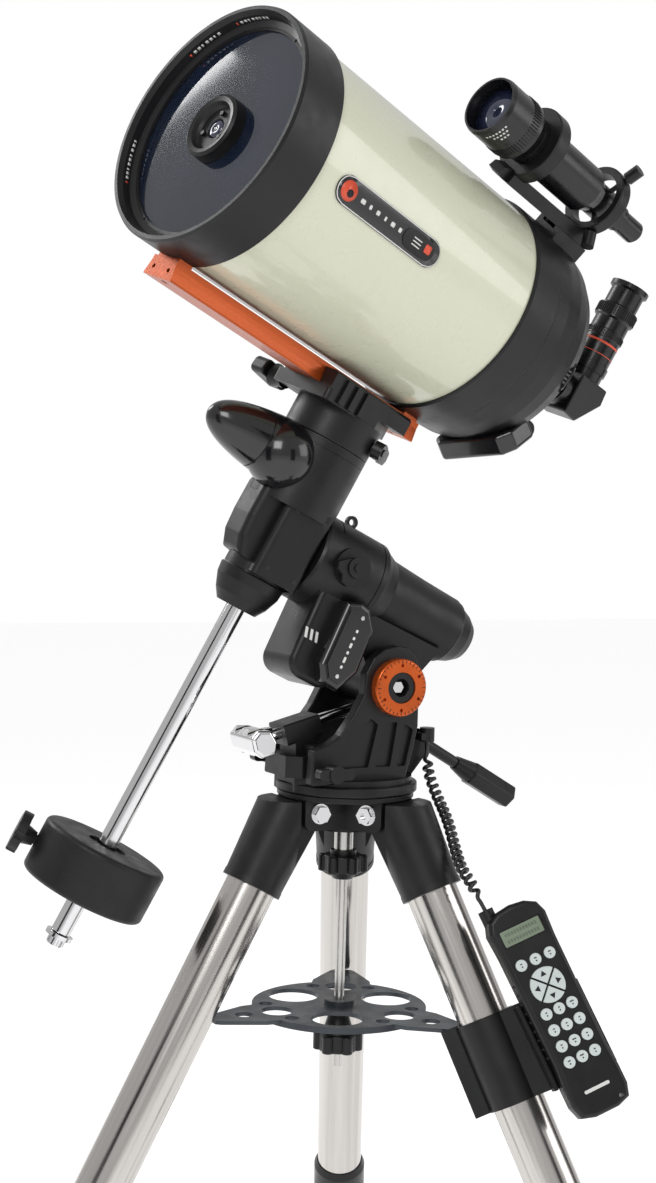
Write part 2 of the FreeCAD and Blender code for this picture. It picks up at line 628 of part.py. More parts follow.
def counterweight_shaft():
    shaft = fuse(cyl(SHAFT_R, -437.0, -30.0), cyl(12.0, -42.0, -22.0))
    shaft = soften(shaft, 1.0, lambda e: e.CenterOfMass.z < -430)
    save("counterweight_shaft", shaft, HOUR)


def counterweight():
    z0 = WEIGHT_POS - WEIGHT_T / 2
    z1 = WEIGHT_POS + WEIGHT_T / 2
    weight = soften(cyl(WEIGHT_R, z0, z1), 5.0)
    recess = cyl(20.0, z1 - 3, z1 + 1)
    bore = cyl(SHAFT_R + RUN_FIT, z0 - 1, z1 + 1)
    tapped = turned(cyl(5.0 + RUN_FIT, 8, 70, "y", 0, WEIGHT_POS), V(0, 0, 1), -20.0)
    save("counterweight", cut(weight, recess, bore, tapped), HOUR)


def weight_lock_knob():
    stem = cyl(5.0, 12.0, 72.0, "y", 0, WEIGHT_POS)
    neck = cone(7.0, 10.0, 65.0, 76.0, "y", 0, WEIGHT_POS)
    head = cyl(21.0, 76.0, 86.0, "y", 0, WEIGHT_POS)
    dents = [cyl(6.0, 70.0, 90.0, "y", 24.5 * math.cos(math.radians(a)),
                 WEIGHT_POS + 24.5 * math.sin(math.radians(a))) for a in range(0, 360, 60)]
    head = soften(cut(head, *dents), 1.5, lambda e: e.CenterOfMass.y > 85)
    knob = fuse(stem, neck, head)
    save("weight_lock_knob", turned(knob, V(0, 0, 1), -20.0), HOUR)


def safety_screw():
    washer = cyl(14.0, -441.5, -437.3)
    head = cyl(8.0, -450.0, -441.0)
    ribs = ring_of(box(7.0, 9.0, -1.0, 1.0, -449.0, -441.4), V(0, 0, 1), 12)
    save("safety_screw", fuse(washer, head, *ribs), HOUR)


# ---------------------------------------------------------------- saddle
LEVER_WAY = (-0.82, -0.572, 0.0)
LEVER_AT = (-0.82 * NECK_R, -0.572 * NECK_R, 121.0)


def saddle():
    """Rotating head of the declination axis with the dovetail channel."""
    floor = DOVE_BOTTOM - 0.1
    axle = cyl(14.0, 68.0, 110.0)
    neck = cyl(NECK_R, NECK_SEAM + 0.5, floor - 12)
    neck = soften(neck, 0.8, lambda e: e.CenterOfMass.z < NECK_SEAM + 1)
    plate = prism([(-42, 60), (-42, -12), (-12, -54), (46, -54), (46, 60)], floor - 13, floor)
    plate = soften(plate, 5.0, lambda e: straight(e, V(0, 0, 1)))
    gusset = prism([(-20, 108), (-44, 109), (-58, floor - 8), (-58, floor), (-20, floor)], -6, 32, "x")
    gusset = soften(gusset, 3.0, lambda e: straight(e, V(0, 1, 0)) or e.CenterOfMass.y < -40)
    wall = prism([(-42, floor - 2), (-42, floor + 13), (-39, floor + 16), (-20.9, floor + 16),
                  (-23.4, floor), (-23.4, floor - 2)], -50, 60, "y")
    ribs = [box(-45.5, -40.0, y - 3.6, y + 3.6, floor - 11, floor + 13) for y in (14, 28, 42)]
    bosses = [cyl(9.5, 44.0, 50.0, "x", y, floor - 7) for y in (44.0, -38.0)]
    body = fuse(axle, neck, plate, gusset, wall, *ribs, *bosses)
    holes = [cyl(4.0 + RUN_FIT, 26.0, 60.0, "x", y, floor - 7) for y in (44.0, -38.0)]
    lever = stand_up(cyl(4.0 + RUN_FIT, -22, 30), LEVER_WAY, LEVER_AT)
    save("saddle", cut(body, *holes, lever), TUBE)


def saddle_jaw():
    """Sliding jaw that grips the dovetail bar."""
    floor = DOVE_BOTTOM - 0.1
    jaw = prism([(23.6, floor + 0.1), (21.1, floor + 16), (36, floor + 16), (40, floor + 12),
                 (40, floor + 0.1)], -50, 56, "y")
    jaw = soften(jaw, 1.5, lambda e: straight(e, V(0, 1, 0)) and e.CenterOfMass.x > 35)
    save("saddle_jaw", jaw, TUBE)


def saddle_knob(y, name):
    z = DOVE_BOTTOM - 7.1
    stem = cyl(4.0, 28.0, 64.0, "x", y, z)
    hub = cone(8.0, 12.0, 50.4, 62.0, "x", y, z)
    head = box(61.0, 82.0, y - 19.0, y + 19.0, z - 8.5, z + 8.5)
    head = soften(head, 6.0, lambda e: straight(e, V(1, 0, 0)))
    head = soften(head, 2.0)
    knob = fuse(stem, hub, head)
    save(name, turned(knob, V(1, 0, 0), 8.0, V(0, y, z)), TUBE)


def dec_clutch_lever():
    """Lever that locks the declination axis: local X runs round the neck, Y up, Z outwards."""
    stem = cyl(4.0, -14.0, 4.0)
    hub = cyl(9.0, 2.0, 12.0)
    lobes = [(-7, -6), (4, -9), (14, -7), (24, -9), (30, -3), (28, 5), (18, 7), (8, 9), (-4, 8)]
    arm = soften(prism(lobes, 4.0, 11.0), 2.5, lambda e: straight(e, V(0, 0, 1)))
    lever = fuse(stem, hub, arm, cyl(3.8, 11.5, 13.5))
    round_neck = V(-LEVER_WAY[1], LEVER_WAY[0], 0)
    lever.Placement = Placement(V(*LEVER_AT), Rotation(round_neck, V(0, 0, 1), V(*LEVER_WAY), "ZXY"))
    save("dec_clutch_lever", lever, TUBE)


def dovetail_bar():
    """Long dovetail bar under the tube, with curved pads that seat on the end castings."""
    z = DOVE_BOTTOM
    bar = prism([(-22.2, z), (-22.2, z + 2), (-19.6, z + 14), (-19.6, DOVE_TOP), (19.6, DOVE_TOP),
                 (19.6, z + 14), (22.2, z + 2), (22.2, z)], -80.0, 261.0, "y")
    pads = [box(-17, 17, 243.0, 259.0, DOVE_TOP - 1, DOVE_TOP + 8),
            box(-17, 17, -78.0, -58.0, DOVE_TOP - 1, DOVE_TOP + 8)]
    bar = fuse(bar, *pads).cut(cyl(CELL_R, -200, 400, "y", 0, TUBE_AXIS))
    slot = soften(box(-13, 13, -40, 225, DOVE_TOP - 3.0, DOVE_TOP + 1), 3.0,
                  lambda e: straight(e, V(0, 0, 1)))
    holes = [cyl(3.3, 140, 190, "z", 0, 251.0), cyl(3.3, 140, 190, "z", 0, -68.0)]
    end_holes = [cyl(2.2, 255, 262, "y", x, z + 9) for x in (-12.0, 12.0)]
    save("dovetail_bar", cut(bar, slot, *holes, *end_holes), TUBE)


# ---------------------------------------------------------------- optical tube
def front_cell():
    """Front casting: outer rim, inner step and the corrector retaining ring."""
    z = TUBE_AXIS
    profile = [(115.9, CELL_Y), (CELL_R, CELL_Y + 1.5), (CELL_R, FRONT_Y - 3), (116.0, FRONT_Y),
               (112.5, FRONT_Y), (110.0, FRONT_Y - 5), (109.5, 279.0), (104.0, 276.5), (101.0, 276.5),
               (101.0, 274.6), (104.2, 274.6), (104.2, 270.0), (99.5, 270.0), (99.5, 262.0),
               (109.0, 256.0), (109.0, 250.0), (114.0, 250.0), (114.0, CELL_Y)]
    save("front_cell", revolve_y(profile, z=z), TUBE)


def corrector_plate():
    z = TUBE_AXIS
    glass = cyl(104.0, 270.2, 274.4, "y", 0, z).cut(cyl(22.0, 260, 280, "y", 0, z))
    save("corrector_plate", glass, TUBE)


def secondary_housing():
    """Secondary mirror cell clamped in the middle of the corrector."""
    z = TUBE_AXIS
    front = revolve_y([(0, 278.5), (9.0, 278.5), (10.0, 280.0), (20.0, 280.0), (22.0, 282.5),
                       (24.0, 286.5), (28.0, 287.5), (31.0, 285.5), (31.5, 274.6), (21.8, 274.6),
                       (21.8, 270.0), (32.0, 270.0), (31.5, 206.0), (29.5, 206.0), (29.0, 258.0),
                       (0, 258.0)], z=z)
    mirror = cyl(28.0, 250.0, 257.8, "y", 0, z)
    save("secondary_housing", Part.makeCompound([front, mirror]), TUBE)


def optical_tube():
    """Thin aluminium tube with the raised badge plate on its west side."""
    z = TUBE_AXIS
    tube = cyl(TUBE_R, TUBE_BACK - 12.0, 249.8, "y", 0, z)
    tube = tube.cut(cyl(TUBE_R - TUBE_WALL, TUBE_BACK - 20, 260, "y", 0, z))
    shell = cyl(TUBE_R + 1.5, 60, 240, "y", 0, z).cut(cyl(TUBE_R, 50, 250, "y", 0, z))
    pill = fuse(box(-130, -90, 93, 205, z - 13.5, z + 13.5),
                cyl(13.5, -130, -90, "x", 93.0, z), cyl(13.5, -130, -90, "x", 205.0, z))
    save("optical_tube", Part.makeCompound([tube, shell.common(pill)]), TUBE)


REAR_PROFILE = [(CELL_R, TUBE_BACK - 2.0), (CELL_R, -84.0), (115.5, -87.0), (115.5, -104.0),
                (114.5, -122.0), (111.0, -138.0), (104.0, -152.0), (93.0, -163.0), (76.0, -172.0),
                (50.0, -179.0), (46.0, -181.0)]
REAR_END = -181.0
FOCUS_TURN = 150.0
FOCUS_R = 78.0
FINDER_TURN = 19.5
HANDLE_TURN = 160.0


def rear_solid():
    """Filled outside shape of the rear cell."""
    return revolve_y([(0, TUBE_BACK)] + [(114.2, TUBE_BACK)] + REAR_PROFILE + [(0, REAR_END)],
                     z=TUBE_AXIS)


def rear_cell():
    """Rear casting with its rounded back, vent recesses and the primary baffle."""
    z = TUBE_AXIS
    inner = [(26.0, REAR_END), (22.0, -176.0), (19.5, -158.0), (19.5, 60.0), (22.0, 62.0),
             (22.0, -154.0), (44.0, -168.0), (72.0, -164.0), (88.0, -156.0), (98.0, -146.0),
             (105.0, -134.0), (109.0, -120.0), (110.0, -104.0), (110.0, -84.0), (111.0, -60.0),
             (TUBE_R, -60.0), (TUBE_R, TUBE_BACK - 0.2), (116.0, TUBE_BACK - 0.2)]
    cell = revolve_y(REAR_PROFILE + inner, z=z)
    seat = box(-19, 19, -130, -86, z + 100, z + 127.0).cut(cyl(110.0, -200, 0, "y", 0, z))
    groove = prism([(-11.2, z + 123), (-13.4, z + 128), (13.4, z + 128), (11.2, z + 123)], -140, -60, "y")
    seat = turned(seat.cut(groove), V(0, 1, 0), -FINDER_TURN, V(0, 0, z))
    hollow = [(0, -60), (110, -84), (110, -104), (109, -120), (105, -134), (90, -150), (0, -150)]
    seat = seat.cut(revolve_y(hollow, z=z))
    cell = fuse(cell, seat)
    for turn in (96.0, 215.0):
        cell = cell.cut(vent_pocket(turn, z))
    x, fz = focus_at()
    cell = cell.cut(cyl(5.0 + RUN_FIT, -190, -140, "y", x, fz))
    save("rear_cell", cell, TUBE)


def vent_pocket(turn, z):
    """Shallow round pocket square to the sloping back of the rear cell."""
    slope = math.radians(50.0)
    way = V(0, -math.sin(slope), math.cos(slope))
    spot = V(0, -153.5, 102.5)
    tool = Part.makeCylinder(17.0, 14.0, V(0, 0, 0), V(0, 0, 1))
    tool = tool.cut(Part.makeCylinder(13.5, 1.5, V(0, 0, 0), V(0, 0, 1)))
    tool.Placement = Placement(spot.sub(way * 3.5), Rotation(V(0, 0, 1), way))
    return moved(turned(tool, V(0, 1, 0), -turn), 0, 0, z)


def focus_at():
    """Focus knob centre (x, z) in the tube frame."""
    a = math.radians(FOCUS_TURN)
    return (-FOCUS_R * math.sin(a), TUBE_AXIS + FOCUS_R * math.cos(a))


def primary_mirror():
    z = TUBE_AXIS
    glass = cyl(101.0, -118.0, -100.0, "y", 0, z).cut(cyl(27.0, -130, -60, "y", 0, z))
    hub = cyl(27.0, -122.0, -86.0, "y", 0, z).cut(cyl(22.0 + RUN_FIT, -130, -50, "y", 0, z))
    glass = glass.cut(Part.makeSphere(812.0, V(0, -103.0 + 812.0, z)))
    save("primary_mirror", fuse(glass, hub), TUBE)


def focus_knob():
    x, z = focus_at()
    stem = cyl(5.0, -180.0, -148.0, "y", x, z)
    body = soften(cone(12.5, 14.0, -197.0, -176.0, "y", x, z), 2.0, lambda e: e.CenterOfMass.y < -190)
    flutes = [cyl(1.6, -195.0, -179.0, "y", x + 14.4 * math.cos(math.radians(a)),
                  z + 14.4 * math.sin(math.radians(a))) for a in range(0, 360, 24)]
    save("focus_knob", fuse(cut(body, *flutes), stem), TUBE)


def carry_handle():
    """Moulded grip bridging two feet low on the back of the rear cell."""
    outline = [(-52, -16), (-50, 14), (-38, 26), (38, 26), (50, 14), (52, -16), (38, -16),
               (34, 8), (26, 14), (-26, 14), (-34, 8), (-38, -16)]
    grip = soften(prism(outline, -11, 11), 4.5)
    grip.Placement = Placement(V(0, -152.0, 102.0), Rotation(V(1, 0, 0), 52.0))
    grip = turned(grip, V(0, 1, 0), -HANDLE_TURN)
    save("carry_handle", moved(grip, 0, 0, TUBE_AXIS).cut(rear_solid()), TUBE)


# ---------------------------------------------------------------- eyepiece end
DIAG_TURN = 0.0            # turn of the diagonal about the optical axis
DIAG_Y = -272.0            # where the folded axes cross


def visual_back():
    """Screwed adapter with a clamp ring and thumbscrew."""
    z = TUBE_AXIS
    e = REAR_END
    ring = revolve_y([(16.05, e), (27.0, e), (27.0, e - 15), (22.5, e - 18), (22.5, e - 38),
                      (21.0, e - 40), (16.05, e - 40)], z=z)
    screw = fuse(cyl(2.0, 17.0, 26.0), cyl(4.2, 24.5, 35.0))
    screw = turned(moved(screw, 0, e - 29, 0), V(0, 1, 0), -100.0)
    save("visual_back", fuse(ring, moved(screw, 0, 0, z)), TUBE)


def star_diagonal():
    """Mirror diagonal: nosepiece, wedge-shaped body and eyepiece socket."""
    z = TUBE_AXIS
    y = DIAG_Y
    nose = cyl(15.95, y + 25, y + 80, "y", 0, z)
    neck = cyl(19.5, y + 20, y + 34, "y", 0, z)
    body = prism([(y + 23, -22), (y + 23, 23), (y - 21, 23), (y - 23, 6), (y + 2, -24)], -23, 23, "x")
    body = moved(soften(body, 2.5), 0, 0, z)
    socket = cyl(19.5, z + 20.0, z + 44.0, "z", 0, y)
    ring = cyl(21.0, z + 33.0, z + 42.0, "z", 0, y)
    light = cyl(13.0, y + 22, y + 81, "y", 0, z)
    well = cyl(15.9, z + 24.0, z + 50.0, "z", 0, y)
    body = cut(fuse(nose, neck, body, socket, ring), light, well)
    save("star_diagonal", turned(body, V(0, 1, 0), DIAG_TURN, V(0, 0, z)), TUBE)


def eyepiece():
    z = TUBE_AXIS
    profile = [(0, 26.0), (15.85, 26.0), (15.85, 44.2), (19.5, 44.2), (19.5, 70.0),
               (20.3, 71.0), (20.3, 79.0), (19.5, 80.0), (19.5, 92.0), (22.0, 94.0), (22.0, 107.0),
               (18.5, 109.0), (18.5, 127.0), (21.5, 129.0), (21.5, 134.0), (17.5, 134.0),
               (14.0, 131.0), (0, 131.0)]
    body = moved(revolve_z(profile), 0, DIAG_Y, z)
    save("eyepiece", turned(body, V(0, 1, 0), DIAG_TURN, V(0, 0, z)), TUBE)


# ---------------------------------------------------------------- finder
FINDER_R = 171.0
FINDER_SCREWS = (100.0, 220.0, 340.0)
PLUNGER = 0                # which of the three is the sprung one


def in_finder(shape):
    """Drawn about an axis parallel to Y at height zero, moved out to the finder's place."""
    out = turned(moved(shape, 0, 0, FINDER_R), V(0, 1, 0), -FINDER_TURN)
    return moved(out, 0, 0, TUBE_AXIS)


def finder_tube():
    body = revolve_y([(0, -183), (9, -183), (11.5, -180), (11.5, -153), (13.5, -151), (13.5, -143),
                      (17.0, -141), (17.0, -104), (24.0, -90), (24.0, 8), (30.0, 19), (30.0, 62),
                      (28.8, 66), (26.8, 66), (26.0, 52), (0, 52)])
    save("finder_tube", in_finder(body), TUBE)


def finder_rod(r, angle, a, b, y=-115.0):
    """Small cylinder pointing at the finder axis, from radius a to b."""
    return moved(turned(cyl(r, a, b), V(0, 1, 0), angle), 0, y, 0)


def finder_bracket():
    """Cradle with two rings on a foot that slides into the rear cell's shoe."""
    rear = soften(cyl(35.0, -122.0, -108.0, "y"), 1.5).cut(cyl(27.0, -140, -60, "y"))
    front = soften(cyl(37.0, -16.0, 0.0, "y"), 1.5).cut(cyl(24.0, -30, 30, "y"))
    rails = [box(x - 4, x + 4, -122, 0, -44, -31) for x in (-12.0, 12.0)]
    ends = [box(-16, 16, -122, -108, -44, -26).cut(cyl(27.0, -140, -60, "y")),
            box(-16, 16, -16, 0, -44, -22).cut(cyl(24.0, -30, 30, "y"))]
    floor = box(-16, 16, -122, 0, -44, -41)
    pillar = box(-15, 15, -128, -86, -43.8, -40)
    tongue = prism([(-12.7, -43.6), (-11.0, -47.8), (11.0, -47.8), (12.7, -43.6)], -128, -88, "y")
    toe = prism([(0, -44), (0, -30), (10, -34), (12, -42), (4, -44)], -10, 10, "x")
    body = fuse(rear, front, *rails, *ends, floor, pillar, tongue, toe)
    body = body.cut(box(-7.5, 7.5, -104, -22, -50, -38))
    for way in FINDER_SCREWS:
        body = body.cut(finder_rod(2.6 + RUN_FIT, way, 20.0, 48.0))
    cell = Part.makeCylinder(CELL_R + 1.0, 300, V(0, -150, -FINDER_R), V(0, 1, 0))
    save("finder_bracket", in_finder(body.cut(cell)), TUBE)


def finder_screws():
    """Adjusting screws round the rear ring: two black thumbscrews and a sprung plunger."""
    screws = []
    for i, angle in enumerate(FINDER_SCREWS):
        rod = finder_rod(2.6, angle, 17.0, 40.0)
        if i == PLUNGER:
            head = finder_rod(4.2, angle, 35.4, 54.0)
        else:
            head = finder_rod(6.5, angle, 37.0, 52.0)
        screws.append(in_finder(fuse(rod, head)))
    save("finder_screws", Part.makeCompound(screws), TUBE)


# ---------------------------------------------------------------- hand control
HOLD_TURN = -59.6          # the hand control's bearing round leg b, degrees
HAND_TILT = 2.9
HAND_YAW = 10.0
HAND_LONG = 205.0
HAND_AT = (42.0, 66.0, -248.0)
PLUG_X, PLUG_Y, PLUG_TOP = -4.0, -20.0, 108.0   # cord relief on the hand control
CORD_R = 6.2               # outside of the curly cord's coils
CORD_ROUTE = [(-28.0, -77.0, 795.9), (-28.0, -77.0, 770.0), (-46.0, -79.0, 744.0), (-76.0, -75.0, 724.0),
              (-101.0, -68.0, 702.0), (-125.0, -61.5, 685.0), (-143.0, -63.9, 672.2), (-154.2, -71.1, 649.9)]


def hold_frame():
    return leg_frame("b").multiply(Placement(V(0, 0, 0), Rotation(V(0, 0, 1), HOLD_TURN)))


def hand_frame():
    """X out of the keypad, Y across, Z up the hand control."""
    lean = Rotation(V(1, 0, 0), HAND_TILT).multiply(Rotation(V(0, 0, 1), HAND_YAW))
    return hold_frame().multiply(Placement(V(*HAND_AT), lean))


KEY_ROWS = {47.0: (-15, 0, 15), -3.0: (-13.5, 0, 13.5), -19.0: (-13.5, 0, 13.5),
            -35.0: (-13.5, 0, 13.5), -51.0: (-13.5, 0, 13.5)}
KEY_R = 5.6
PAD_Z = 21.0


def handset():
    """Hand control case with its display window."""
    outline = [(-25.0, -102.0), (-12, -106), (12, -106), (25, -102.0), (29.0, -90.0), (29.0, -72.0),
               (27.5, -50), (28.5, 60.0), (30.0, 84.0), (26.0, 95.0), (15.0, 101.0), (0, 103.0),
               (-15, 101.0), (-26, 95), (-30, 84), (-28.5, 60), (-27.5, -50), (-29, -72), (-29, -90)]
    case = prism([(y, z) for y, z in outline], -13.5, 13.5, "x")
    case = soften(case, 5.0, lambda e: abs(abs(e.CenterOfMass.x) - 13.5) < 0.01)
    window = soften(box(12.0, 20, -22.5, 22.5, 66, 84), 1.5, lambda e: straight(e, V(1, 0, 0)))
    case = case.cut(window)
    for z, row in KEY_ROWS.items():
        for y in row:
            case = case.cut(cyl(KEY_R + 0.35, 10.5, 20, "x", y, z))
    case = case.cut(cyl(17.0 + 0.35, 10.5, 20, "x", 0, PAD_Z))
    case = case.cut(cyl(2.5, -20, 20, "x", 18, -98))
    plug = cyl(7.5, 90.0, PLUG_TOP, "z", PLUG_X, PLUG_Y)
    case = case.fuse(plug).removeSplitter()
    save("handset", case, hand_frame())


def keypad():
    """Keys of the hand control: round keys and a four-way pad."""
    keys = []
    for z, row in KEY_ROWS.items():
        for y in row:
            keys.append(soften(cyl(KEY_R, 11.4, 15.6, "x", y, z), 1.0, lambda e: e.CenterOfMass.x > 15.5))
    pad = soften(cyl(17.0, 11.4, 15.6, "x", 0, PAD_Z), 1.2, lambda e: e.CenterOfMass.x > 15.5)
    cross = [turned(box(10, 17, -1.0, 1.0, -20, 20), V(1, 0, 0), a) for a in (45.0, -45.0)]
    for bar in cross:
        pad = pad.cut(moved(bar, 0, 0, PAD_Z))
    keys.extend(pad.Solids)
    save("keypad", Part.makeCompound(keys), hand_frame())


def curly_cord():
    """Envelope of the curly cord: straight runs joined by tangent arcs."""
    points = [V(*p) for p in CORD_ROUTE]
    corners = []
    for before, at, after in zip(points, points[1:], points[2:]):
        into = (at - before).normalize()
        out = (after - at).normalize()
        turn = into.getAngle(out)
        back = 0.45 * min((at - before).Length, (after - at).Length)
        radius = back / math.tan(turn / 2)
        middle = at + (out - into).normalize() * (radius / math.cos(turn / 2) - radius)
        corners.append((at - into * back, middle, at + out * back))
        print("cord bend radius %.0f mm" % radius)
    edges = []
    start = points[0]
    for a, m, b in corners:
        edges.append(Part.LineSegment(start, a).toShape())
        edges.append(Part.Arc(a, m, b).toShape())
        start = b
    edges.append(Part.LineSegment(start, points[-1]).toShape())
    path = Part.Wire(edges)
    ring = Part.Wire([Part.makeCircle(CORD_R, points[0], points[1] - points[0])])
    tube = path.makePipeShell([ring], True, True)
    share = tube.Volume / (math.pi * CORD_R ** 2 * path.Length)
    print("cord length %.1f mm, volume share %.3f" % (path.Length, share))
    save("curly_cord", tube)


def handset_holder():
    """Clip round leg b with the cradle that carries the hand control."""
    z0, z1 = -318.0, -233.0
    clip = cyl(29.4, z0, z1).cut(cyl(LEG_TUBE_R, z0 - 1, z1 + 1))
    gap = prism([(0, 0), (60 * math.cos(math.radians(-157)), 60 * math.sin(math.radians(-157))),
                 (60 * math.cos(math.radians(-125)), 60 * math.sin(math.radians(-125))),
                 (60 * math.cos(math.radians(-94)), 60 * math.sin(math.radians(-94)))], z0 - 1, z1 + 1)
    clip = clip.cut(gap)
    flange = box(-1.5, 2.5, -44.0, -26.2, z0, z1 + 2)
    grip = [box(-2.3, 3.3, y, y + 2.2, z0 + 2, z1) for y in (-44.0, -40.5, -37.0)]
    web = prism([(12, 8), (12, 24), (19, 52), (24, 62), (27.5, 58), (31, 40), (24, 12)], z0, z1)
    web = web.cut(cyl(LEG_TUBE_R, z0 - 1, z1 + 1))
    body = fuse(clip, flange, *grip, web)
    body.Placement = hold_frame()
    cradle = fuse(box(-18.0, -14.0, -34.0, 30.0, -70.0, 14.0), box(-18.0, -2.0, -34.0, -30.6, -70.0, 14.0),
                  box(-18.0, -8.0, 30.6, 33.0, -70.0, 14.0), box(-18.0, -14.0, 29.0, 33.0, -70.0, 14.0))
    cradle = soften(cradle, 1.2, lambda e: straight(e, V(0, 0, 1)))
    cradle.Placement = hand_frame()
    body = body.fuse(cradle)
    tube = cyl(LEG_TUBE_R, z0 - 60, z1 + 60)
    tube.Placement = leg_frame("b")
    save("handset_holder", body.cut(tube).removeSplitter())


tripod_hub()
leg_pivot_bolts()
for leg in LEG_AZIMUTHS:
    leg_socket(leg)
    upper_leg(leg)
    leg_clamp(leg)
    lower_leg(leg)
centre_rod()
mounting_knob()
accessory_tray()
tray_knob()
azimuth_base()
azimuth_knob(-1, "azimuth_knob_west")
azimuth_knob(1, "azimuth_knob_east")
latitude_rings()
latitude_bolt_front()
latitude_bolt_rear()
ra_housing()
ra_motor_housing()
motor_cover()
polar_cap()
ra_clutch_lever()
dec_housing()
dec_motor_pod()
shaft_collar()
counterweight_shaft()
counterweight()
weight_lock_knob()
safety_screw()
saddle()
saddle_jaw()
saddle_knob(44.0, "saddle_knob_front")
saddle_knob(-38.0, "saddle_knob_rear")
dec_clutch_lever()
dovetail_bar()
front_cell()
corrector_plate()
secondary_housing()
optical_tube()
rear_cell()
primary_mirror()
focus_knob()
carry_handle()
visual_back()
star_diagonal()
eyepiece()
finder_tube()
finder_bracket()
finder_screws()
handset()
keypad()
handset_holder()
curly_cord()
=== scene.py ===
"""Looks of a Schmidt-Cassegrain telescope on a German equatorial mount and steel tripod.

Metres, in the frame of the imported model: +Z up, origin on the floor under the tripod's axis.
"""

import json
import math
import random

import bmesh
import bpy
from mathutils import Matrix, Vector

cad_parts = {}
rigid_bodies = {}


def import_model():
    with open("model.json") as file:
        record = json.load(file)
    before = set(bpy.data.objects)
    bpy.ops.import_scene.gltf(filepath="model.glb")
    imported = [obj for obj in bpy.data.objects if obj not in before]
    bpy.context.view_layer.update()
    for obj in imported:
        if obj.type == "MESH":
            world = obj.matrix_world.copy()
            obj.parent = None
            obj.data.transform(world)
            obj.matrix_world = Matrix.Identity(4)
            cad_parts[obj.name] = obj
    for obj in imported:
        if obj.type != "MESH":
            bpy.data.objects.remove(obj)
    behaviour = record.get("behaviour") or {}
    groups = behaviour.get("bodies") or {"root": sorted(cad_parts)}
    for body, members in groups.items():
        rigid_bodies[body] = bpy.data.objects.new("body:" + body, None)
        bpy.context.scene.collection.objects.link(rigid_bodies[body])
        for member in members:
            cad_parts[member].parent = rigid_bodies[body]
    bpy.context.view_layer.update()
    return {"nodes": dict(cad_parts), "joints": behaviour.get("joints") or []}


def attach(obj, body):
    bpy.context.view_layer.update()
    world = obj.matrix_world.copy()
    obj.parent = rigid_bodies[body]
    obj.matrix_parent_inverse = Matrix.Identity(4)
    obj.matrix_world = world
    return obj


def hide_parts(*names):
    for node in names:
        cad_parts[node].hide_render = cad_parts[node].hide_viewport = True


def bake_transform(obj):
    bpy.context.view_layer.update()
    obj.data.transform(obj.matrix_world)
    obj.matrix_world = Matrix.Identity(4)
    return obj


for leftover in list(bpy.data.objects):
    bpy.data.objects.remove(leftover)
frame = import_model()
nodes = frame["nodes"]
random.seed(8)
MM = 0.001


# ---------------------------------------------------------------- local frames, from the joints
def joint(name):
    return next(j for j in frame["joints"] if j["name"] == name)


def axis_of(name):
    return Vector(joint(name)["axis"])


def placed(origin, y_axis, z_axis):
    """Matrix of a local frame from its origin and its Y and Z directions."""
    x_axis = y_axis.cross(z_axis)
    turn = Matrix((x_axis, y_axis, z_axis)).transposed().to_4x4()
    return Matrix.Translation(origin) @ turn


CROSSING = Vector(joint("declination")["pos_m"])
POLE = axis_of("right_ascension")
HOUR = placed(CROSSING, POLE, axis_of("declination"))
TUBE = placed(CROSSING, axis_of("tube_slide"), axis_of("declination"))
LATITUDE = placed(CROSSING, POLE, Vector((1, 0, 0)).cross(POLE))
OPTIC = 288 * MM                       # optical axis above the crossing of the two axes
DIAGONAL_AT = -272 * MM                # eyepiece's axis, along the tube
FINDER_LEAN = math.radians(-19.5)      # round the tube from its top
FINDER_R = 171 * MM                    # from the tube's axis to the finder's
HAND_AT = Vector((-208.73, -117.25, 566.38)) * MM
AXIS = TUBE @ Matrix.Translation((0, 0, OPTIC))
DIAGONAL = AXIS @ Matrix.Translation((0, DIAGONAL_AT, 0))
FINDER = AXIS @ Matrix.Rotation(FINDER_LEAN, 4, "Y") @ Matrix.Translation((0, 0, FINDER_R))
HAND_Z = axis_of("hand_control_lift")
HAND_X = -axis_of("key_press")
HAND = placed(HAND_AT, HAND_Z.cross(HAND_X), HAND_Z)
PIVOT = placed(Vector(joint("latitude")["pos_m"]), Vector((0, 1, 0)), Vector((0, 0, 1)))


# ---------------------------------------------------------------- materials
def link_noise(tree, source, scale, detail):
    """Noise read at the given coordinates."""
    noise = tree.nodes.new("ShaderNodeTexNoise")
    noise.inputs["Scale"].default_value = scale
    noise.inputs["Detail"].default_value = detail
    tree.links.new(source, noise.inputs["Vector"])
    return noise.outputs["Fac"]


def stretched(tree, source, direction):
    """Coordinates squeezed along one direction, so that noise runs out into streaks along it."""
    dot = tree.nodes.new("ShaderNodeVectorMath")
    dot.operation = "DOT_PRODUCT"
    dot.inputs[1].default_value = direction
    tree.links.new(source, dot.inputs[0])
    along = tree.nodes.new("ShaderNodeVectorMath")
    along.operation = "SCALE"
    along.inputs[0].default_value = Vector(direction) * 0.985
    tree.links.new(dot.outputs["Value"], along.inputs["Scale"])
    rest = tree.nodes.new("ShaderNodeVectorMath")
    rest.operation = "SUBTRACT"
    tree.links.new(source, rest.inputs[0])
    tree.links.new(along.outputs[0], rest.inputs[1])
    return rest.outputs[0]


def spread(tree, value, low, high):
    """Noise remapped to run from low to high."""
    remap = tree.nodes.new("ShaderNodeMapRange")
    remap.inputs["From Min"].default_value = 0.3
    remap.inputs["From Max"].default_value = 0.7
    remap.inputs["To Min"].default_value = low
    remap.inputs["To Max"].default_value = high
    tree.links.new(value, remap.inputs["Value"])
    return remap.outputs["Result"]


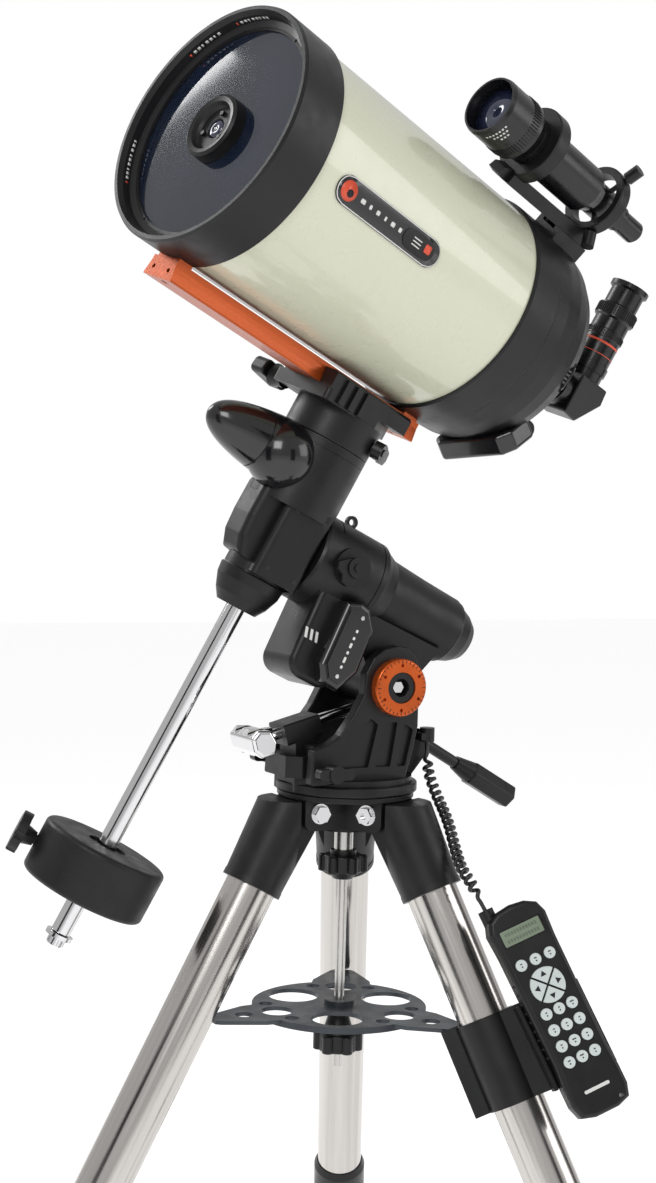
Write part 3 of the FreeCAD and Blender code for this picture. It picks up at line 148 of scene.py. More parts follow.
def surface(name, colour, rough, metal=0.0, coat=0.0, grain=(1400.0, 0.1), vary=0.12,
            rough_vary=0.2, streak=None, alpha=1.0, gloss=0.5):
    """Principled material with colour and roughness clouds, fine grain and streaks."""
    mat = bpy.data.materials.new(name)
    mat.use_nodes = True
    tree = mat.node_tree
    bsdf = tree.nodes["Principled BSDF"]
    place = tree.nodes.new("ShaderNodeTexCoord").outputs["Object"]
    flow = stretched(tree, place, streak) if streak else place
    cloud = link_noise(tree, flow, 180.0 if streak else 22.0, 5.0)
    ramp = tree.nodes.new("ShaderNodeValToRGB")
    ramp.color_ramp.elements[0].position = 0.3
    ramp.color_ramp.elements[1].position = 0.7
    ramp.color_ramp.elements[0].color = [c * (1 - vary) for c in colour] + [1]
    ramp.color_ramp.elements[1].color = [min(1, c * (1 + vary)) for c in colour] + [1]
    tree.links.new(cloud, ramp.inputs["Fac"])
    tree.links.new(ramp.outputs["Color"], bsdf.inputs["Base Color"])
    haze = link_noise(tree, flow, 420.0 if streak else 60.0, 3.0)
    tree.links.new(spread(tree, haze, rough * (1 - rough_vary), rough * (1 + rough_vary)),
                   bsdf.inputs["Roughness"])
    bsdf.inputs["Metallic"].default_value = metal
    bsdf.inputs["Alpha"].default_value = alpha
    bsdf.inputs["Specular IOR Level"].default_value = gloss
    bsdf.inputs["Coat Weight"].default_value = coat
    bsdf.inputs["Coat Roughness"].default_value = 0.06
    if grain:
        bump = tree.nodes.new("ShaderNodeBump")
        bump.inputs["Strength"].default_value = grain[1]
        bump.inputs["Distance"].default_value = 0.0004
        tree.links.new(link_noise(tree, flow, grain[0], 2.0), bump.inputs["Height"])
        tree.links.new(bump.outputs["Normal"], bsdf.inputs["Normal"])
    return mat


def leg_way(key):
    """Direction down one leg, in which its lower part slides out."""
    return tuple(axis_of("extend_" + key))


CAST = surface("cast_black", (0.006, 0.006, 0.0065), 0.38, grain=(1100.0, 0.35), gloss=0.33)
CELL = surface("cell_black", (0.007, 0.007, 0.008), 0.36, grain=(1500.0, 0.22), gloss=0.33)
MOULDED = surface("moulded_black", (0.006, 0.006, 0.0065), 0.34, grain=(2200.0, 0.25), gloss=0.33)
GLOSS = surface("gloss_black", (0.006, 0.006, 0.007), 0.16, coat=0.25, grain=(300.0, 0.02), rough_vary=0.3)
ANODISED = surface("anodised_black", (0.006, 0.006, 0.007), 0.26, metal=0.1, grain=(2600.0, 0.08))
CREAM = surface("tube_cream", (0.54, 0.55, 0.42), 0.3, coat=0.8, grain=None, vary=0.008)
ORANGE = surface("orange_anodised", (0.42, 0.070, 0.010), 0.30, metal=0.55, grain=(2600.0, 0.1), vary=0.1,
                 streak=tuple(axis_of("tube_slide")))
RING_ORANGE = surface("ring_orange", (0.50, 0.085, 0.011), 0.26, metal=0.6, grain=(1800.0, 0.15))
CHROME = surface("chrome", (0.66, 0.66, 0.67), 0.10, metal=1.0, grain=(500.0, 0.02), vary=0.04)
SHAFT = surface("shaft_chrome", (0.66, 0.66, 0.67), 0.12, metal=1.0, grain=None, vary=0.05,
                streak=tuple(axis_of("declination")))
STEEL = {k: surface("leg_steel_" + k, (0.55, 0.525, 0.50), 0.2, metal=1.0, grain=(700.0, 0.03), vary=0.1,
                    rough_vary=0.35, streak=leg_way(k)) for k in "abc"}
ROD_STEEL = surface("rod_steel", (0.52, 0.51, 0.49), 0.24, metal=1.0, vary=0.1, streak=(0, 0, 1))
IRON = surface("weight_coat", (0.007, 0.007, 0.0075), 0.46, grain=(900.0, 0.6), gloss=0.33)
TRAY = surface("hammered_grey", (0.040, 0.046, 0.054), 0.36, metal=0.35, grain=(420.0, 0.5), vary=0.2)
RUBBER = surface("rubber", (0.010, 0.010, 0.010), 0.6, grain=(1800.0, 0.3), gloss=0.35)
CORD = surface("cord_rubber", (0.011, 0.011, 0.012), 0.33, grain=(2200.0, 0.12))
KEY = surface("key_grey", (0.52, 0.57, 0.56), 0.4, grain=(2400.0, 0.1), vary=0.05)
INK = surface("mark_dark", (0.010, 0.010, 0.012), 0.5, grain=None, gloss=0.3)
LINING = surface("tube_lining", (0.004, 0.005, 0.010), 0.8, grain=None, gloss=0.1)
PALE = surface("mark_pale", (0.60, 0.60, 0.58), 0.45, grain=None, vary=0.04)
RED = surface("mark_orange", (0.60, 0.065, 0.025), 0.35, grain=None, vary=0.06)
LCD = surface("display", (0.16, 0.20, 0.14), 0.2, coat=0.4, grain=None, vary=0.06)
CELLS = surface("display_cells", (0.10, 0.125, 0.09), 0.3, grain=None)
# Painted shade: the mirror's colour is set dark blue so that its reflections look as dark as the shaded tube
# it faces. A real aluminised mirror is bright.
MIRROR_PAINTED_SHADE = surface("mirror", (0.17, 0.20, 0.26), 0.03, metal=1.0, grain=None, vary=0.01, rough_vary=0.05)
COATED = surface("lens_coat", (0.015, 0.02, 0.05), 0.05, metal=0.2, coat=1.0, grain=None, vary=0.3)
# The corrector is glass, and its coat gives real reflections, but its dark navy colour, mostly opaque, is
# painted shade that stands in for the dark inside of the tube seen through it.
CORRECTOR_PAINTED_SHADE = surface("corrector_glass_painted_shade", (0.006, 0.012, 0.03), 0.04, coat=1.0, grain=None, vary=0.2, alpha=0.72)

FINISH = {
    CAST: "tripod_hub azimuth_base ra_housing dec_housing shaft_collar saddle leg_socket_a leg_socket_b"
          " leg_socket_c",
    CELL: "rear_cell front_cell",
    MOULDED: "leg_clamp_a leg_clamp_b leg_clamp_c ra_motor_housing polar_cap ra_clutch_lever"
             " mounting_knob tray_knob saddle_knob_front saddle_knob_rear focus_knob dec_clutch_lever"
             " handset_holder handset weight_lock_knob latitude_bolt_rear azimuth_knob_west"
             " azimuth_knob_east secondary_housing finder_screws finder_bracket",
    GLOSS: "motor_cover dec_motor_pod carry_handle",
    ANODISED: "saddle_jaw visual_back star_diagonal eyepiece finder_tube",
    CREAM: "optical_tube",
    ORANGE: "dovetail_bar",
    RING_ORANGE: "latitude_rings",
    CHROME: "safety_screw latitude_bolt_front leg_pivot_bolts",
    SHAFT: "counterweight_shaft",
    ROD_STEEL: "centre_rod",
    IRON: "counterweight",
    TRAY: "accessory_tray",
    CORRECTOR_PAINTED_SHADE: "corrector_plate",
    MIRROR_PAINTED_SHADE: "primary_mirror",
    KEY: "keypad",
}
for finish, names in FINISH.items():
    for name in names.split():
        nodes[name].data.materials.clear()
        nodes[name].data.materials.append(finish)


def second_finish(name, finish, test):
    """Gives a second material to the faces of a node whose centre passes a test."""
    mesh = nodes[name].data
    mesh.materials.append(finish)
    for face in mesh.polygons:
        if test(face.center):
            face.material_index = len(mesh.materials) - 1


def radius_from(matrix, point):
    """Distance of a point from the local Y axis of a frame, and its place along that axis."""
    local = matrix.inverted() @ point
    return math.hypot(local.x, local.z), local


HUB = Vector((0, 0, 0.748))            # where the legs' lines meet
TIP_FROM = 0.818                       # start of a leg's rubber tip, along the leg from the hub
TIP_TOP = 0.0095                       # height below which a leg is all rubber
BADGE_FROM_R = 114.4 * MM              # the tube's raised badge lies outside this radius
LINING_TO_R = 113.6 * MM               # and its bore inside this one
SECONDARY_FACE = 0.2579                # front of the secondary mirror, along the tube
SECONDARY_R = 0.0281
PLUNGER = FINDER @ Matrix.Rotation(math.radians(100), 4, "Y") @ Vector((0, -0.115, 0.045))
PLUNGER_REACH = 0.03
for key in "abc":
    for name in ("upper_leg_" + key, "lower_leg_" + key):
        nodes[name].data.materials.clear()
        nodes[name].data.materials.append(STEEL[key])
    second_finish("lower_leg_" + key, RUBBER,
                  lambda c, k=key: (c - HUB).dot(Vector(leg_way(k))) > TIP_FROM or c.z < TIP_TOP)
second_finish("optical_tube", GLOSS, lambda c: radius_from(AXIS, c)[0] > BADGE_FROM_R)
second_finish("optical_tube", LINING, lambda c: radius_from(AXIS, c)[0] < LINING_TO_R)
# The secondary mirror's face takes the same mirror, with its painted shade.
second_finish("secondary_housing", MIRROR_PAINTED_SHADE, lambda c: radius_from(AXIS, c)[1].y < SECONDARY_FACE
              and radius_from(AXIS, c)[0] < SECONDARY_R)
second_finish("finder_screws", CHROME, lambda c: (c - PLUNGER).length < PLUNGER_REACH)


# ---------------------------------------------------------------- mesh helpers
def fix_normals(mesh):
    """Turns every face outward."""
    work = bmesh.new()
    work.from_mesh(mesh)
    bmesh.ops.recalc_face_normals(work, faces=work.faces)
    work.to_mesh(mesh)
    work.free()


def piece(name, verts, faces, matrix, finish, body, slot, smooth=True, bevel=0.0):
    """Visible piece from points in a local frame, riding on a body."""
    mesh = bpy.data.meshes.new(name)
    mesh.from_pydata([tuple(matrix @ Vector(v)) for v in verts], [], faces)
    mesh.validate()
    made = bpy.data.objects.new(name, mesh)
    bpy.context.scene.collection.objects.link(made)
    mesh.materials.append(finish)
    fix_normals(mesh)
    for face in mesh.polygons:
        face.use_smooth = smooth
    if bevel:
        rounded = made.modifiers.new("rounded", "BEVEL")
        rounded.width = bevel
        rounded.segments = 2
        rounded.limit_method = "ANGLE"
    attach(made, body)
    return made


BAR_FACES = [(0, 1, 2, 3), (7, 6, 5, 4), (0, 4, 5, 1), (1, 5, 6, 2), (2, 6, 7, 3), (3, 7, 4, 0)]


class Parts:
    """Collects several closed solids for one piece."""

    def __init__(self):
        self.verts = []
        self.faces = []

    def add(self, verts, faces):
        base = len(self.verts)
        self.verts.extend(verts)
        self.faces.extend([tuple(base + i for i in face) for face in faces])

    def slab(self, outline, low, high, place=lambda u, v, w: (u, v, w)):
        """Prism of an outline (u, v) from height low to high, mapped by place(u, v, w)."""
        n = len(outline)
        verts = [place(u, v, low) for u, v in outline] + [place(u, v, high) for u, v in outline]
        faces = [tuple(range(n))[::-1], tuple(range(n, 2 * n))]
        faces += [(i, (i + 1) % n, n + (i + 1) % n, n + i) for i in range(n)]
        self.add(verts, faces)

    def turned(self, profile, place, around=48):
        """Closed solid of revolution from a profile of (radius, height), mapped by place(x, y, height)."""
        verts, faces = [], []
        for r, h in profile:
            for i in range(around):
                a = 2 * math.pi * i / around
                verts.append(place(r * math.cos(a), r * math.sin(a), h))
        for k in range(len(profile)):
            m = (k + 1) % len(profile)
            for i in range(around):
                j = (i + 1) % around
                faces.append((k * around + i, k * around + j, m * around + j, m * around + i))
        self.add(verts, faces)

    def make(self, name, matrix, finish, body, slot, **look):
        return piece(name, self.verts, self.faces, matrix, finish, body, slot, **look)


def along_y(u, v, w):
    return (u, w, v)


def along_x(u, v, w):
    return (w, u, v)


def along_z(u, v, w):
    return (u, v, w)


def turned_by(a, u, v):
    """A point (u, v) turned by angle a round the origin."""
    return u * math.cos(a) - v * math.sin(a), u * math.sin(a) + v * math.cos(a)


def round_y(a):
    """Maps (outward, sideways, height) to a place at angle a round the local Y axis."""
    def place(u, v, w):
        x, z = turned_by(a, u, v)
        return (x, w, z)
    return place


def round_z(a):
    """Maps (outward, sideways, height) to a place at angle a round the local Z axis."""
    def place(u, v, w):
        return (*turned_by(a, u, v), w)
    return place


def rounded_box(width, height, radius, centre=(0.0, 0.0), steps=5):
    """Outline of a rounded rectangle."""
    points = []
    for cx, cy, start in ((1, 1, 0), (-1, 1, 90), (-1, -1, 180), (1, -1, 270)):
        for i in range(steps + 1):
            a = math.radians(start + 90 * i / steps)
            points.append((centre[0] + cx * (width / 2 - radius) + radius * math.cos(a),
                           centre[1] + cy * (height / 2 - radius) + radius * math.sin(a)))
    return points


def disc(radius, centre=(0.0, 0.0), sides=32):
    return [(centre[0] + radius * math.cos(2 * math.pi * (i / sides)),
             centre[1] + radius * math.sin(2 * math.pi * (i / sides))) for i in range(sides)]


# ---------------------------------------------------------------- badge on the tube
BADGE_R = 115.55 * MM                  # face of the raised badge
BADGE_ENDS = (93 * MM, 205 * MM)       # centres of its round ends, along the tube


def on_tube(rise):
    """Maps (place along the tube, arc up its west side, height) onto the tube's surface."""
    def place(u, v, w):
        a = v / BADGE_R
        r = BADGE_R + rise + w
        return (-r * math.cos(a), u, r * math.sin(a))
    return place


def curved_pill(parts, y0, y1, half, rise, thick, rows=14):
    """Pill-shaped plate that follows the tube's curve."""
    place = on_tube(rise)
    rims = []
    for i in range(rows + 1):
        v = -half + 2 * half * i / rows
        reach = math.sqrt(max(half * half - v * v, 0))
        rims.append((y0 - reach, y1 + reach, v))
    columns = 8
    verts, faces = [], []
    for w in (0, thick):
        for a, b, v in rims:
            verts += [place(a + (b - a) * c / columns, v, w) for c in range(columns + 1)]
    per = columns + 1
    layer = per * (rows + 1)
    for i in range(rows):
        for c in range(columns):
            k = i * per + c
            faces.append((k, k + 1, k + per + 1, k + per))
            faces.append((layer + k, layer + k + per, layer + k + per + 1, layer + k + 1))
        for c in (0, columns):
            k = i * per + c
            faces.append((k, k + per, layer + k + per, layer + k))
    parts.add(verts, faces)


def tube_badge():
    rim = Parts()
    curved_pill(rim, *BADGE_ENDS, 13.2 * MM, 0.0, 0.25 * MM)
    rim.make("badge_rim", AXIS, PALE, "tube", "tube_cream")
    plate = Parts()
    curved_pill(plate, *BADGE_ENDS, 12.2 * MM, 0.2 * MM, 0.3 * MM)
    plate.make("badge_plate", AXIS, GLOSS, "tube", "black_gloss")
    inset = Parts()
    curved_pill(inset, 98 * MM, 120 * MM, 9.6 * MM, 0.5 * MM, 0.7 * MM)
    inset.make("badge_inset", AXIS, MOULDED, "tube", "black_gloss", smooth=False)
    marks = Parts()
    marks.slab(disc(9.2 * MM, (205 * MM, 0)), 0, 0.5 * MM, on_tube(0.45 * MM))
    marks.slab(rounded_box(8 * MM, 8 * MM, 1.5 * MM, (97 * MM, 1 * MM)), 0, 0.4 * MM, on_tube(1.2 * MM))
    marks.make("badge_emblem", AXIS, RED, "tube", "orange_anodised")
    bars = Parts()
    for i, length in enumerate((9, 5, 7, 4, 8, 6)):
        bar = rounded_box(length * 0.62 * MM, 4.2 * MM, 1 * MM, ((186 - 10.2 * i) * MM, 0))
        bars.slab(bar, 0, 0.3 * MM, on_tube(0.5 * MM))
    for v in (-3.2, 0.0, 3.2):
        bars.slab(rounded_box(11 * MM, 1.1 * MM, 0.5 * MM, (112 * MM, v * MM)), 0, 0.3 * MM,
                  on_tube(1.2 * MM))
    bars.make("badge_bars", AXIS, PALE, "tube", "key_grey")
    swirl = Parts()
    swirl.slab(disc(3.6 * MM, (203 * MM, -1.5 * MM)), 0, 0.3 * MM, on_tube(0.95 * MM))
    swirl.make("badge_spot", AXIS, INK, "tube", "black_gloss")


# ---------------------------------------------------------------- front end
SCREW_CIRCLE = 102.6 * MM              # screws of the corrector's ring
ADJUSTER_CIRCLE = 14.5 * MM            # collimation screws of the secondary
RIM_R = 109.6 * MM                     # inner wall of the rim, at the near edge of its marks
RIM_TAPER = 0.0625
RIM_MARKS = (281.0 * MM, 284.0 * MM)   # edges of the marks, along the tube
RIM_WORDS = ((76.0, 9), (44.0, 8), (-27.0, 10))    # middle in degrees and number of marks


def on_circle(radius, a):
    return radius * math.cos(a), radius * math.sin(a)


def ring_dash(parts, a0, a1):
    """Thin mark on the inside of the tapered rim."""
    y0, y1 = RIM_MARKS
    verts = []
    for rise in (0.0, -0.3 * MM):
        for a, y in ((a0, y0), (a1, y0), (a1, y1), (a0, y1)):
            r = RIM_R + (y - y0) * RIM_TAPER + rise
            verts.append((r * math.cos(a), y, r * math.sin(a)))
    parts.add(verts, BAR_FACES)


def front_end():
    screws = Parts()
    for i in range(8):
        at = on_circle(SCREW_CIRCLE, math.radians(22.5 + 45 * i))
        screws.slab(disc(1.5 * MM, at, 16), 276.4 * MM, 277.3 * MM, along_y)
    screws.make("front_screws", AXIS, ANODISED, "tube", "black_anodised", smooth=False, bevel=0.3 * MM)
    adjusters = Parts()
    for i in range(3):
        at = on_circle(ADJUSTER_CIRCLE, math.radians(90 + 120 * i))
        adjusters.slab(disc(2.4 * MM, at, 24), 279.8 * MM, 282.6 * MM, along_y)
    adjusters.make("secondary_screws", AXIS, ANODISED, "tube", "black_anodised", smooth=False,
                   bevel=0.3 * MM)
    cap = Parts()
    cap.turned([(0.1 * MM, 0.2805), (7.5 * MM, 0.2805), (9 * MM, 0.2790), (9 * MM, 0.2783),
                (0.1 * MM, 0.2783)], along_y)
    cap.make("secondary_cap", AXIS, COATED, "tube", "black_gloss")
    dot = Parts()
    dot.slab(disc(2.2 * MM, sides=24), 0.2804, 0.2808, along_y)
    dot.make("secondary_dot", AXIS, CHROME, "tube", "bright_chrome")
    dashes = Parts()
    red = Parts()
    for centre, count in RIM_WORDS:
        for i in range(count):
            a0 = math.radians(centre + 2.6 * (i - count / 2))
            a1 = a0 + math.radians(1.5 if i % 3 else 0.9)
            ring_dash(red if i == 0 else dashes, a0, a1)
    dashes.make("rim_marks", AXIS, PALE, "tube", "key_grey")
    red.make("rim_spots", AXIS, RED, "tube", "orange_anodised")


# ---------------------------------------------------------------- vents of the rear cell
VENT_AT = (0, -153.5 * MM, 102.5 * MM)     # on the cell's cone, before it is turned round the tube
VENT_SLOPE = math.radians(50)
VENT_R = 11.4 * MM


def vents():
    grilles = Parts()
    for turn in (96.0, 215.0):
        vent = (Matrix.Rotation(math.radians(-turn), 4, "Y") @ Matrix.Translation(VENT_AT)
                @ Matrix.Rotation(VENT_SLOPE, 4, "X"))

        def placed_here(u, v, w, vent=vent):
            return tuple(vent @ Vector((u, v, w)))

        grilles.turned([(11.2 * MM, -2.1 * MM), (13.2 * MM, -2.1 * MM), (13.2 * MM, -0.6 * MM),
                        (12.4 * MM, 0.1 * MM), (11.2 * MM, -0.4 * MM)], placed_here)
        for i in range(5):
            across = (-8.4 + 4.2 * i) * MM
            bar = rounded_box(2.0 * MM, 2 * math.sqrt(VENT_R ** 2 - across ** 2), 0.4 * MM, (across, 0), 2)
            grilles.slab(bar, -2.1 * MM, -0.9 * MM, placed_here)
    grilles.make("vent_grilles", AXIS, ANODISED, "tube", "black_anodised", smooth=False, bevel=0.2 * MM)


# ---------------------------------------------------------------- finder and eyepiece
BARREL_R = 30.05 * MM                  # front barrel of the finder
MARK_ANGLE = math.radians(4)
MARK_TALL = 1.9 * MM


def mark_on_barrel(parts, start, y):
    """Small bar on the outside of the finder's front barrel."""
    verts = []
    for r in (BARREL_R, BARREL_R + 0.25 * MM):
        for a, h in ((start, y), (start + MARK_ANGLE, y), (start + MARK_ANGLE, y + MARK_TALL),
                     (start, y + MARK_TALL)):
            verts.append((r * math.cos(a), h, r * math.sin(a)))
    parts.add(verts, BAR_FACES)


def finder_detail():
    lens = Parts()
    lens.turned([(0.1 * MM, 55.5 * MM), (12 * MM, 54.9 * MM), (25.6 * MM, 52.6 * MM), (25.6 * MM, 52.1 * MM),
                 (0.1 * MM, 52.1 * MM)], along_y)
    lens.make("finder_lens", FINDER, COATED, "tube", "lens_glass")
    ribs = Parts()
    rib = rounded_box(1.5 * MM, 0.9 * MM, 0.3 * MM, (30.2 * MM, 0), 2)
    for i in range(60):
        ribs.slab(rib, 24 * MM, 34 * MM, round_y(2 * math.pi * i / 60))
    ribs.make("finder_grip", FINDER, MOULDED, "tube", "black_anodised", smooth=False)
    marks = Parts()
    for row, y in enumerate((56.0, 51.5, 47.0)):
        for i in range(7 - 2 * row):
            mark_on_barrel(marks, math.radians(188 + 7 * i + 4 * row), y * MM)
    marks.make("finder_marks", FINDER, PALE, "tube", "key_grey")
    eye = Parts()
    eye.turned([(0.1 * MM, -183.6 * MM), (6 * MM, -183.4 * MM), (6.4 * MM, -182.9 * MM),
                (0.1 * MM, -182.9 * MM)], along_y, 32)
    eye.make("finder_eye_lens", FINDER, COATED, "tube", "lens_glass")


def eyepiece_detail():
    lens = Parts()
    lens.turned([(0.1 * MM, 0.1331), (9 * MM, 0.1322), (13.2 * MM, 0.1312), (13.2 * MM, 0.1308),
                 (0.1 * MM, 0.1308)], along_z)
    lens.make("eye_lens", DIAGONAL, COATED, "ocular", "lens_glass")
    bands = Parts()
    for low, high in ((52.0, 52.8), (64.0, 66.4)):
        bands.turned([(19.4 * MM, low * MM), (19.75 * MM, low * MM), (19.75 * MM, high * MM),
                      (19.4 * MM, high * MM)], along_z)
    bands.make("eyepiece_bands", DIAGONAL, RED, "ocular", "orange_anodised")
    ribs = Parts()
    upper = rounded_box(1.4 * MM, 1.2 * MM, 0.3 * MM, (22.0 * MM, 0), 2)
    lower = rounded_box(1.2 * MM, 1.1 * MM, 0.3 * MM, (20.2 * MM, 0), 2)
    for i in range(54):
        place = round_z(2 * math.pi * i / 54)
        ribs.slab(upper, 95.5 * MM, 106 * MM, place)
        ribs.slab(lower, 72 * MM, 78 * MM, place)
    ribs.make("eyepiece_grip", DIAGONAL, RUBBER, "ocular", "black_plastic", smooth=False)


# ---------------------------------------------------------------- mount detail
def mount_detail():
    ticks = Parts()
    for side in (-1, 1):
        for i in range(36):
            a = math.radians(10 * i)
            inner = 24.6 if i % 3 else 23.4
            shape = [(inner * MM, -0.35 * MM), (27.0 * MM, -0.35 * MM), (27.0 * MM, 0.35 * MM),
                     (inner * MM, 0.35 * MM)]
            low, high = sorted((side * 59.6 * MM, side * 62.25 * MM))
            ticks.slab([turned_by(a, u, v) for u, v in shape], low, high, along_x)
    ticks.make("pivot_ticks", PIVOT, INK, "fork", "black_cast", smooth=False)
    caps = Parts()
    for side in (-1, 1):
        low, high = sorted((side * 51.0 * MM, side * 55.0 * MM))
        caps.slab(disc(6.5 * MM, sides=6), low, high, along_x)
    caps.make("pivot_nuts", PIVOT, CHROME, "polar", "bright_chrome", smooth=False, bevel=0.5 * MM)
    bars = Parts()
    for i, size in enumerate((3.0, 3.0, 5.0, 3.0, 6.0, 3.0)):
        z = (-52 - 7.6 * i) * MM
        bars.slab(rounded_box(2.6 * MM, size * MM, 0.8 * MM, (-98 * MM, z)), -54.5 * MM, -54.1 * MM, along_x)
    bars.make("cover_marks", LATITUDE, PALE, "polar", "key_grey", smooth=False)
    slants = Parts()
    for i in range(3):
        y = (-72.5 + 6.2 * i) * MM
        shape = [(y, -78 * MM), (y + 3.0 * MM, -78 * MM), (y + 6.0 * MM, -68 * MM),
                 (y + 3.0 * MM, -68 * MM)]
        slants.slab(shape, -36.3 * MM, -35.9 * MM, along_x)
    slants.make("drive_marks", LATITUDE, PALE, "polar", "key_grey", smooth=False)
    screws = Parts()
    for y, z in ((-98.0, -100.0), (-98.0, -38.0)):
        screws.slab(disc(2.1 * MM, (y * MM, z * MM), 24), -54.6 * MM, -51.4 * MM, along_x)
    screws.make("cover_screws", LATITUDE, CHROME, "polar", "bright_chrome", smooth=False, bevel=0.3 * MM)
    panel = Parts()
    for y in (-24.0, 8.0):
        for z in (-30.0, 32.0):
            panel.slab(disc(2.3 * MM, (y * MM, z * MM), 24), -38.9 * MM, -38.2 * MM, along_x)
    panel.make("panel_screws", HOUR, ANODISED, "declination", "black_anodised", smooth=False, bevel=0.2 * MM)


# ---------------------------------------------------------------- hand control
KEY_TOP = 15.6 * MM                    # height of the keys' tops above the case's middle
MARK_LOW = KEY_TOP - 0.1 * MM
MARK_HIGH = KEY_TOP + 0.15 * MM
ARROWS_AT = 21.0                       # middle of the four arrow keys, in mm up the case
KEY_ROWS = {47.0: (-15.0, 0.0, 15.0), -3.0: (-13.5, 0.0, 13.5), -19.0: (-13.5, 0.0, 13.5),
            -35.0: (-13.5, 0.0, 13.5), -51.0: (-13.5, 0.0, 13.5)}


def hand_detail():
    display = Parts()
    display.slab(rounded_box(41 * MM, 15.2 * MM, 1.2 * MM, (0, 75 * MM)), 11.9 * MM, 12.5 * MM, along_x)
    display.make("display", HAND, LCD, "hand_control", "key_grey", smooth=False)
    cells = Parts()
    for row in (71.6, 78.2):
        for i in range(11):
            cell = rounded_box(2.1 * MM, 3.2 * MM, 0.3 * MM, ((-15.5 + 3.1 * i) * MM, row * MM), 2)
            cells.slab(cell, 12.4 * MM, 12.6 * MM, along_x)
    cells.make("display_cells", HAND, CELLS, "hand_control", "black_plastic", smooth=False)
    marks = Parts()
    for z, row in KEY_ROWS.items():
        for y in row:
            wide = random.choice((2.0, 3.0, 4.2))
            marks.slab(rounded_box(wide * MM, 1.1 * MM, 0.4 * MM, (y * MM, (z + 1.2) * MM), 2),
                       MARK_LOW, MARK_HIGH, along_x)
            marks.slab(disc(0.75 * MM, (y * MM, (z - 1.6) * MM), 12), MARK_LOW, MARK_HIGH, along_x)
    for i in range(4):
        a = math.radians(90 * i)
        spun = [turned_by(a, u, v) for u, v in ((0.0, 14.0), (-3.0, 9.0), (3.0, 9.0))]
        marks.slab([(u * MM, (ARROWS_AT + v) * MM) for u, v in spun], MARK_LOW, MARK_HIGH, along_x)
    marks.make("key_marks", HAND, INK, "keys", "black_plastic", smooth=False)
    bar = Parts()
    bar.slab(rounded_box(26 * MM, 3.2 * MM, 1.5 * MM, (0, -82 * MM)), 13.4 * MM, 13.75 * MM, along_x)
    bar.make("case_bar", HAND, PALE, "hand_control", "key_grey", smooth=False)
    ribs = Parts()
    for side in (-1, 1):
        for i in range(9):
            rib = rounded_box(9 * MM, 2.2 * MM, 1.0 * MM, (0, (-40 + 9 * i) * MM), 3)
            ribs.slab(rib, side * 27.2 * MM, side * 28.9 * MM, along_y)
    ribs.make("case_grips", HAND, RUBBER, "hand_control", "black_plastic", smooth=False)


# ---------------------------------------------------------------- curly cord
CORD_ROUTE = [(-0.0280, -0.0770, 0.7959), (-0.0280, -0.0770, 0.7700), (-0.0460, -0.0790, 0.7440),
              (-0.0760, -0.0750, 0.7240), (-0.1010, -0.0680, 0.7020), (-0.1250, -0.0615, 0.6850),
              (-0.1430, -0.0639, 0.6722), (-0.1542, -0.0711, 0.6499)]
WIRE = 4.2 * MM
COIL_R = 4.1 * MM                      # from the cord's line to the middle of the wire
PITCH = 8.0 * MM
TAIL = 8 * MM                          # straight stretch at each end
EASE = 16 * MM                         # stretch over which the coil opens out
STEPS_A_TURN = 14
ROUTE_STEPS = 40                       # points that Blender reads between two of the route's
COIL_STEPS = 2                         # and between two of the coil's


def spline_curve(name, points, steps):
    """Curve of one smooth open spline with the given control points."""
    curve = bpy.data.curves.new(name, "CURVE")
    curve.dimensions = "3D"
    spline = curve.splines.new("NURBS")
    spline.points.add(len(points) - 1)
    for point, at in zip(spline.points, points):
        point.co = (*at, 1)
    spline.order_u = 3
    spline.use_endpoint_u = True
    curve.resolution_u = steps
    return curve


def drawn_line(points, steps):
    """Points along the smooth spline that has the given control points, from its first to its last."""
    guide = bpy.data.objects.new("line", spline_curve("line", points, steps))
    bpy.context.scene.collection.objects.link(guide)
    bpy.context.view_layer.update()
    mesh = bpy.data.meshes.new_from_object(guide)
    found = [mesh.vertices[0].co.copy()]
    for vertex in mesh.vertices:
        if (vertex.co - found[-1]).length > 0.02 * MM:
            found.append(vertex.co.copy())
    bpy.data.objects.remove(guide)
    if (found[0] - Vector(points[0])).length > (found[-1] - Vector(points[0])).length:
        found.reverse()
    return found


def helix(line):
    """Control points of the coiled wire round a line, with a straight tail at each end."""
    reach = [0.0]
    for a, b in zip(line, line[1:]):
        reach.append(reach[-1] + (b - a).length)
    total = reach[-1]
    side = (line[1] - line[0]).orthogonal().normalized()
    coil = [line[0]]
    k, turn, s = 0, 0.0, TAIL
    while s < total - TAIL:
        while reach[k + 1] < s:
            k += 1
        centre = line[k].lerp(line[k + 1], (s - reach[k]) / (reach[k + 1] - reach[k]))
        way = (line[k + 1] - line[k]).normalized()
        side = (side - way * side.dot(way)).normalized()
        swell = min(1.0, (s - TAIL) / EASE, (total - TAIL - s) / EASE)
        outward = side * math.cos(turn) + way.cross(side) * math.sin(turn)
        coil.append(centre + outward * COIL_R * swell)
        turn += 2 * math.pi / STEPS_A_TURN
        s += PITCH * (3 - 2 * swell) / STEPS_A_TURN
    coil.append(line[-1])
    return coil


def wire_mesh(coil):
    """Round wire along the coil, as a mesh."""
    curve = spline_curve("curly_cord_wire", coil, COIL_STEPS)
    curve.bevel_depth = WIRE / 2
    curve.bevel_resolution = 3
    curve.use_fill_caps = True
    bent = bpy.data.objects.new("bent_wire", curve)
    bpy.context.scene.collection.objects.link(bent)
    bpy.context.view_layer.update()
    depsgraph = bpy.context.evaluated_depsgraph_get()
    mesh = bpy.data.meshes.new_from_object(bent.evaluated_get(depsgraph))
    bpy.data.objects.remove(bent)
    mesh.materials.clear()
    mesh.materials.append(CORD)
    for face in mesh.polygons:
        face.use_smooth = True
    return mesh


